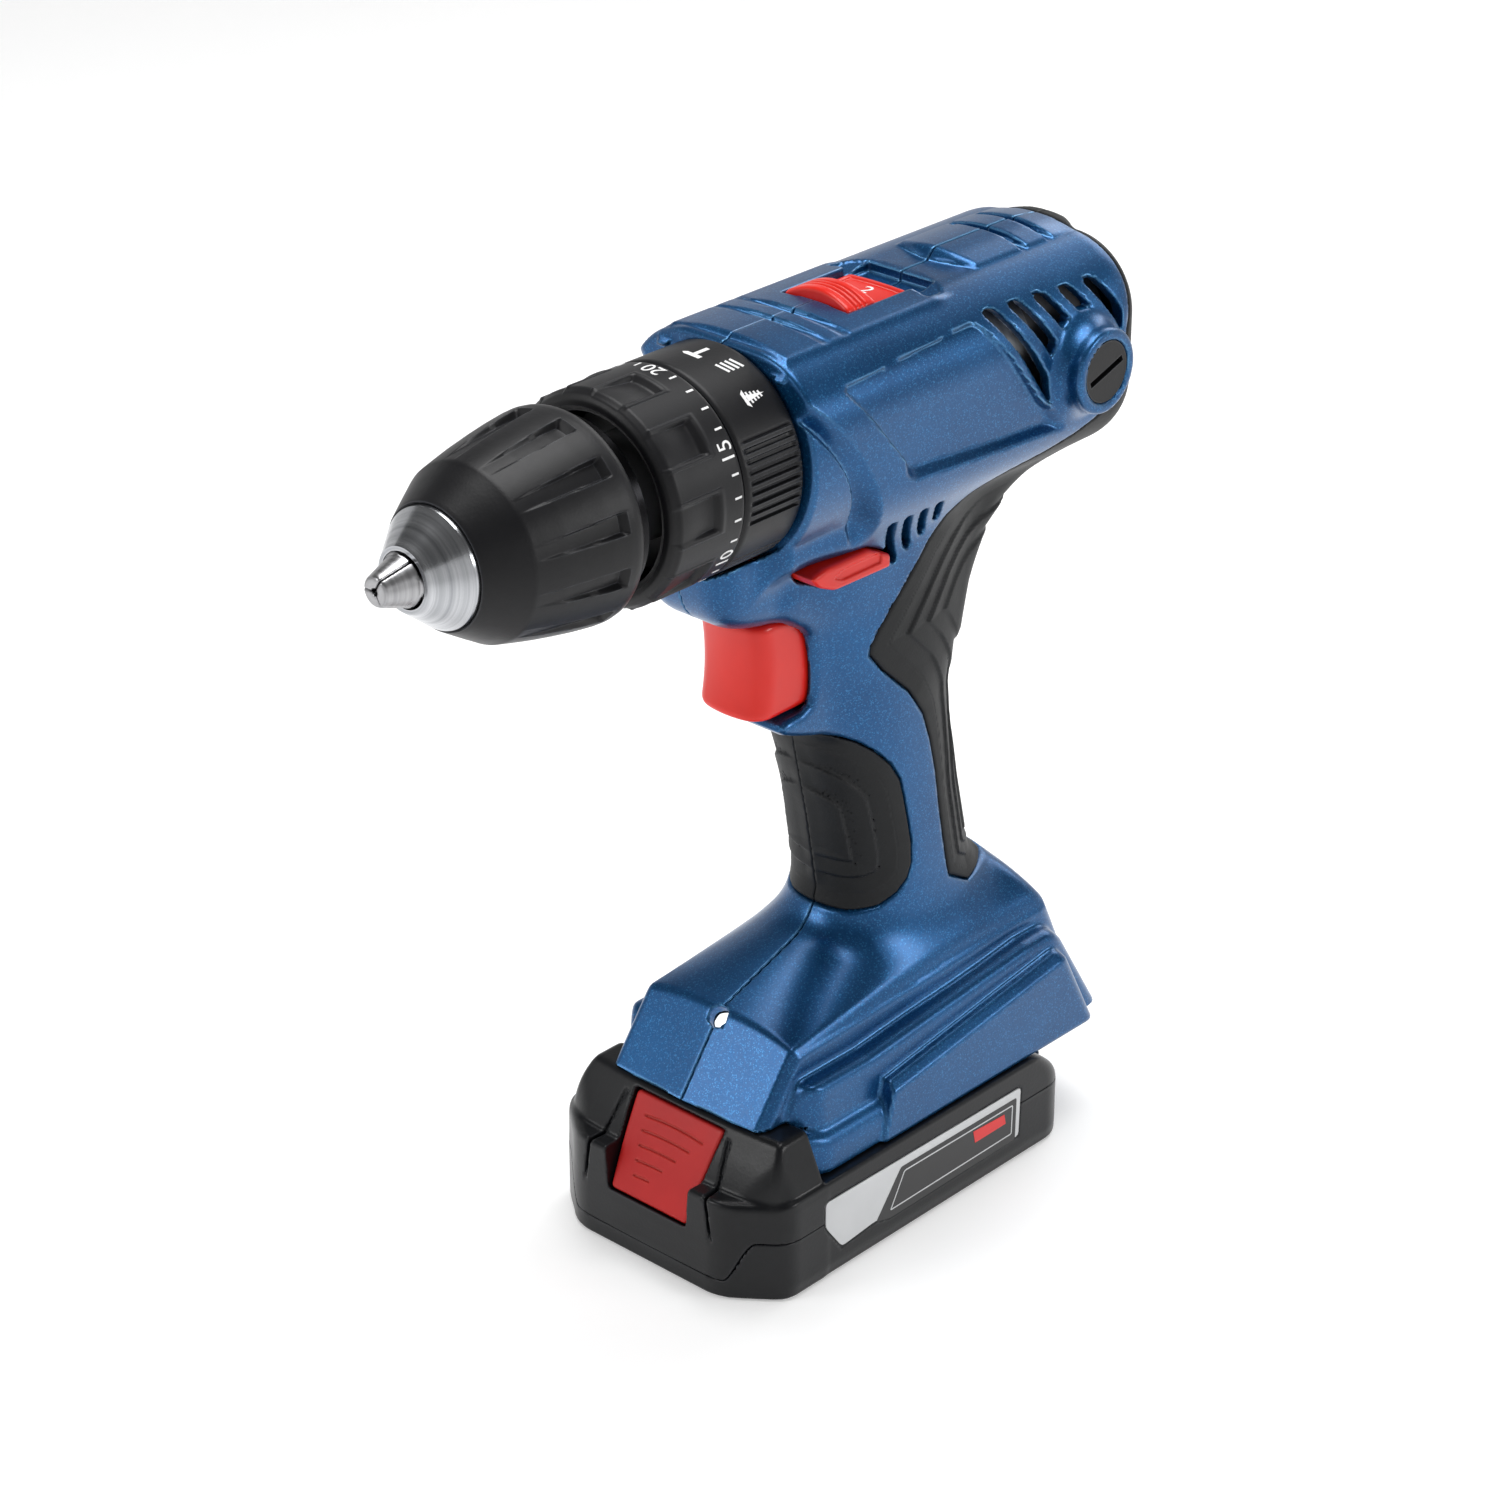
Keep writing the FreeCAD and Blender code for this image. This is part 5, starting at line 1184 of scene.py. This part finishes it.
def joinedShapes(shapes):
    # several flat outlines as one figure
    u, v, loops = [], [], []
    for shape in shapes:
        loops.append(tuple(range(len(u), len(u) + len(shape))))
        u += [p[0] for p in shape]
        v += [p[1] for p in shape]
    return np.array(u, float), np.array(v, float), loops


def stroke(a, b, width):
    d = np.array(b, float) - np.array(a, float)
    n = np.array([-d[1], d[0]]) / np.hypot(*d) * width / 2
    a, b = np.array(a, float), np.array(b, float)
    return [tuple(a + n), tuple(a - n), tuple(b - n), tuple(b + n)]


for i, value in enumerate((20, 15, 10, 5)):
    degrees = 88.5 - 60.0 * i
    number = figure(str(value), signs["numberSize"])
    wrappedPiece("torque_number_%d" % value, *number, signs["numberX"], degrees, "torque_ring")
    offsets = [math.radians(12.0 * k) * signs["radius"] for k in range(1, 5)]
    ticks = joinedShapes([stroke((offset, -1.5), (offset, 0.6), 0.5) for offset in offsets])
    wrappedPiece("torque_ticks_%d" % value, *ticks, signs["numberX"], degrees, "torque_ring")

hammerSign = joinedShapes([
    [(-2.8, 1.2), (-2.8, 2.6), (1.6, 2.6), (2.6, 1.9), (1.6, 1.2)], stroke((-0.6, 1.2), (-0.6, -3.0), 1.1)])
drillSign = joinedShapes([stroke((-1.7, -2.6 + 1.5 * k), (1.7, -1.4 + 1.5 * k), 0.7) for k in range(4)])
screwSign = joinedShapes([
    [(-2.3, 1.9), (-1.5, 2.9), (1.5, 2.9), (2.3, 1.9)], [(-0.8, 1.9), (0.8, 1.9), (0, -3.4)],
    *(stroke((-1.5 + 0.22 * k, 1.0 - 1.1 * k), (1.5 - 0.22 * k, 1.3 - 1.1 * k), 0.5) for k in range(4))])
for name, sign, degrees, x0 in (("hammer", hammerSign, 89.0, 41.5), ("drill", drillSign, 70.0, 39.6),
                                ("screw", screwSign, 49.0, 41.0)):
    wrappedPiece("sign_" + name, *sign, x0, degrees, "mode_ring")

u, v, loops = figure("2", 6.0)
lift = selector["plate"] - selector["crown"] * u ** 2
levels = [np.stack([-16.0 - v, u, lift - depth], -1) for depth in (0.9, 0.42)]
finishPiece(figureSolid("selector_digit", *levels, loops, white), "gear_selector")
print("signs made")


# Setting

def area(name, place, target, size, power, colour=(1, 1, 1)):
    lamp = bpy.data.lights.new(name, "AREA")
    lamp.shape, lamp.size, lamp.size_y = "RECTANGLE", size[0], size[1]
    lamp.energy, lamp.color = power, colour
    made = linked(name, lamp)
    made.location = place
    made.rotation_euler = (Vector(target) - Vector(place)).to_track_quat("-Z", "Y").to_euler()


def studio():
    floorMaterial, tree, shader = newMaterial("paleFloor")
    tone = noiseNode(tree, objectPlace(tree), 6.0, 3.0)
    feed(tree, shader, {
        "Base Color": mixColour(tree, tone, (0.80, 0.80, 0.80), (0.84, 0.84, 0.84)), "Roughness": 0.55,
        "Emission Color": (1.0, 1.0, 1.0), "Emission Strength": 0.34})
    # the floor runs back level and then curves up into a backdrop all round
    ringCount, aroundCount = 60, 96
    run = np.linspace(0, 1, ringCount)
    reach = 3.2 * run ** 1.5
    lift = np.maximum(reach - 1.8, 0) ** 2 * 0.8
    turn = np.linspace(0, 2 * math.pi, aroundCount, endpoint=False)
    points = np.stack(np.broadcast_arrays(reach[1:, None] * np.cos(turn), reach[1:, None] * np.sin(turn),
                                          lift[1:, None] - 0.0004), -1).reshape(-1, 3)
    i = np.arange(ringCount - 2)[:, None] * aroundCount
    j = np.arange(aroundCount)[None, :]
    k = (j + 1) % aroundCount
    quads = np.stack(np.broadcast_arrays(i + j, i + aroundCount + j, i + aroundCount + k, i + k), -1)
    quads = [tuple(int(n) for n in quad) for quad in quads.reshape(-1, 4)]
    mesh = bpy.data.meshes.new("floor")
    mesh.from_pydata([tuple(p) for p in points], [], quads + [tuple(range(aroundCount))])
    mesh.materials.append(floorMaterial)
    mesh.polygons.foreach_set("use_smooth", np.ones(len(mesh.polygons), bool))
    linked("floor", mesh)


studio()
target = (0.02, 0.0, 0.13)
area("topLight", (-0.15, -0.10, 1.25), target, (0.8, 0.8), 13.0)
area("keyLight", (1.05, -0.55, 0.75), target, (0.5, 0.5), 4.5)
area("sideLight", (-0.55, 1.10, 0.60), target, (0.6, 0.3), 4.5)
area("rearLight", (-1.1, -0.2, 0.7), target, (0.7, 0.5), 3.0)
world = bpy.data.worlds.new("room")
world.use_nodes = True
world.node_tree.nodes["Background"].inputs["Color"].default_value = (1.0, 1.0, 1.0, 1.0)
world.node_tree.nodes["Background"].inputs["Strength"].default_value = 0.14
bpy.context.scene.world = world
bpy.context.scene.view_settings.view_transform = "Standard"

cameraPlan = {"place": (0.6632, 0.5867, 0.5655), "target": (0.0236, 0.0, 0.1258), "lens": 98.9, "sensor": 36.0}
lensData = bpy.data.cameras.new("camera")
lensData.lens, lensData.sensor_width = cameraPlan["lens"], cameraPlan["sensor"]
lensData.clip_start, lensData.clip_end = 0.05, 30.0
camera = linked("camera", lensData)
camera.location = cameraPlan["place"]
camera.rotation_euler = (Vector(cameraPlan["target"]) - camera.location).to_track_quat("-Z", "Y").to_euler()
bpy.context.scene.camera = camera
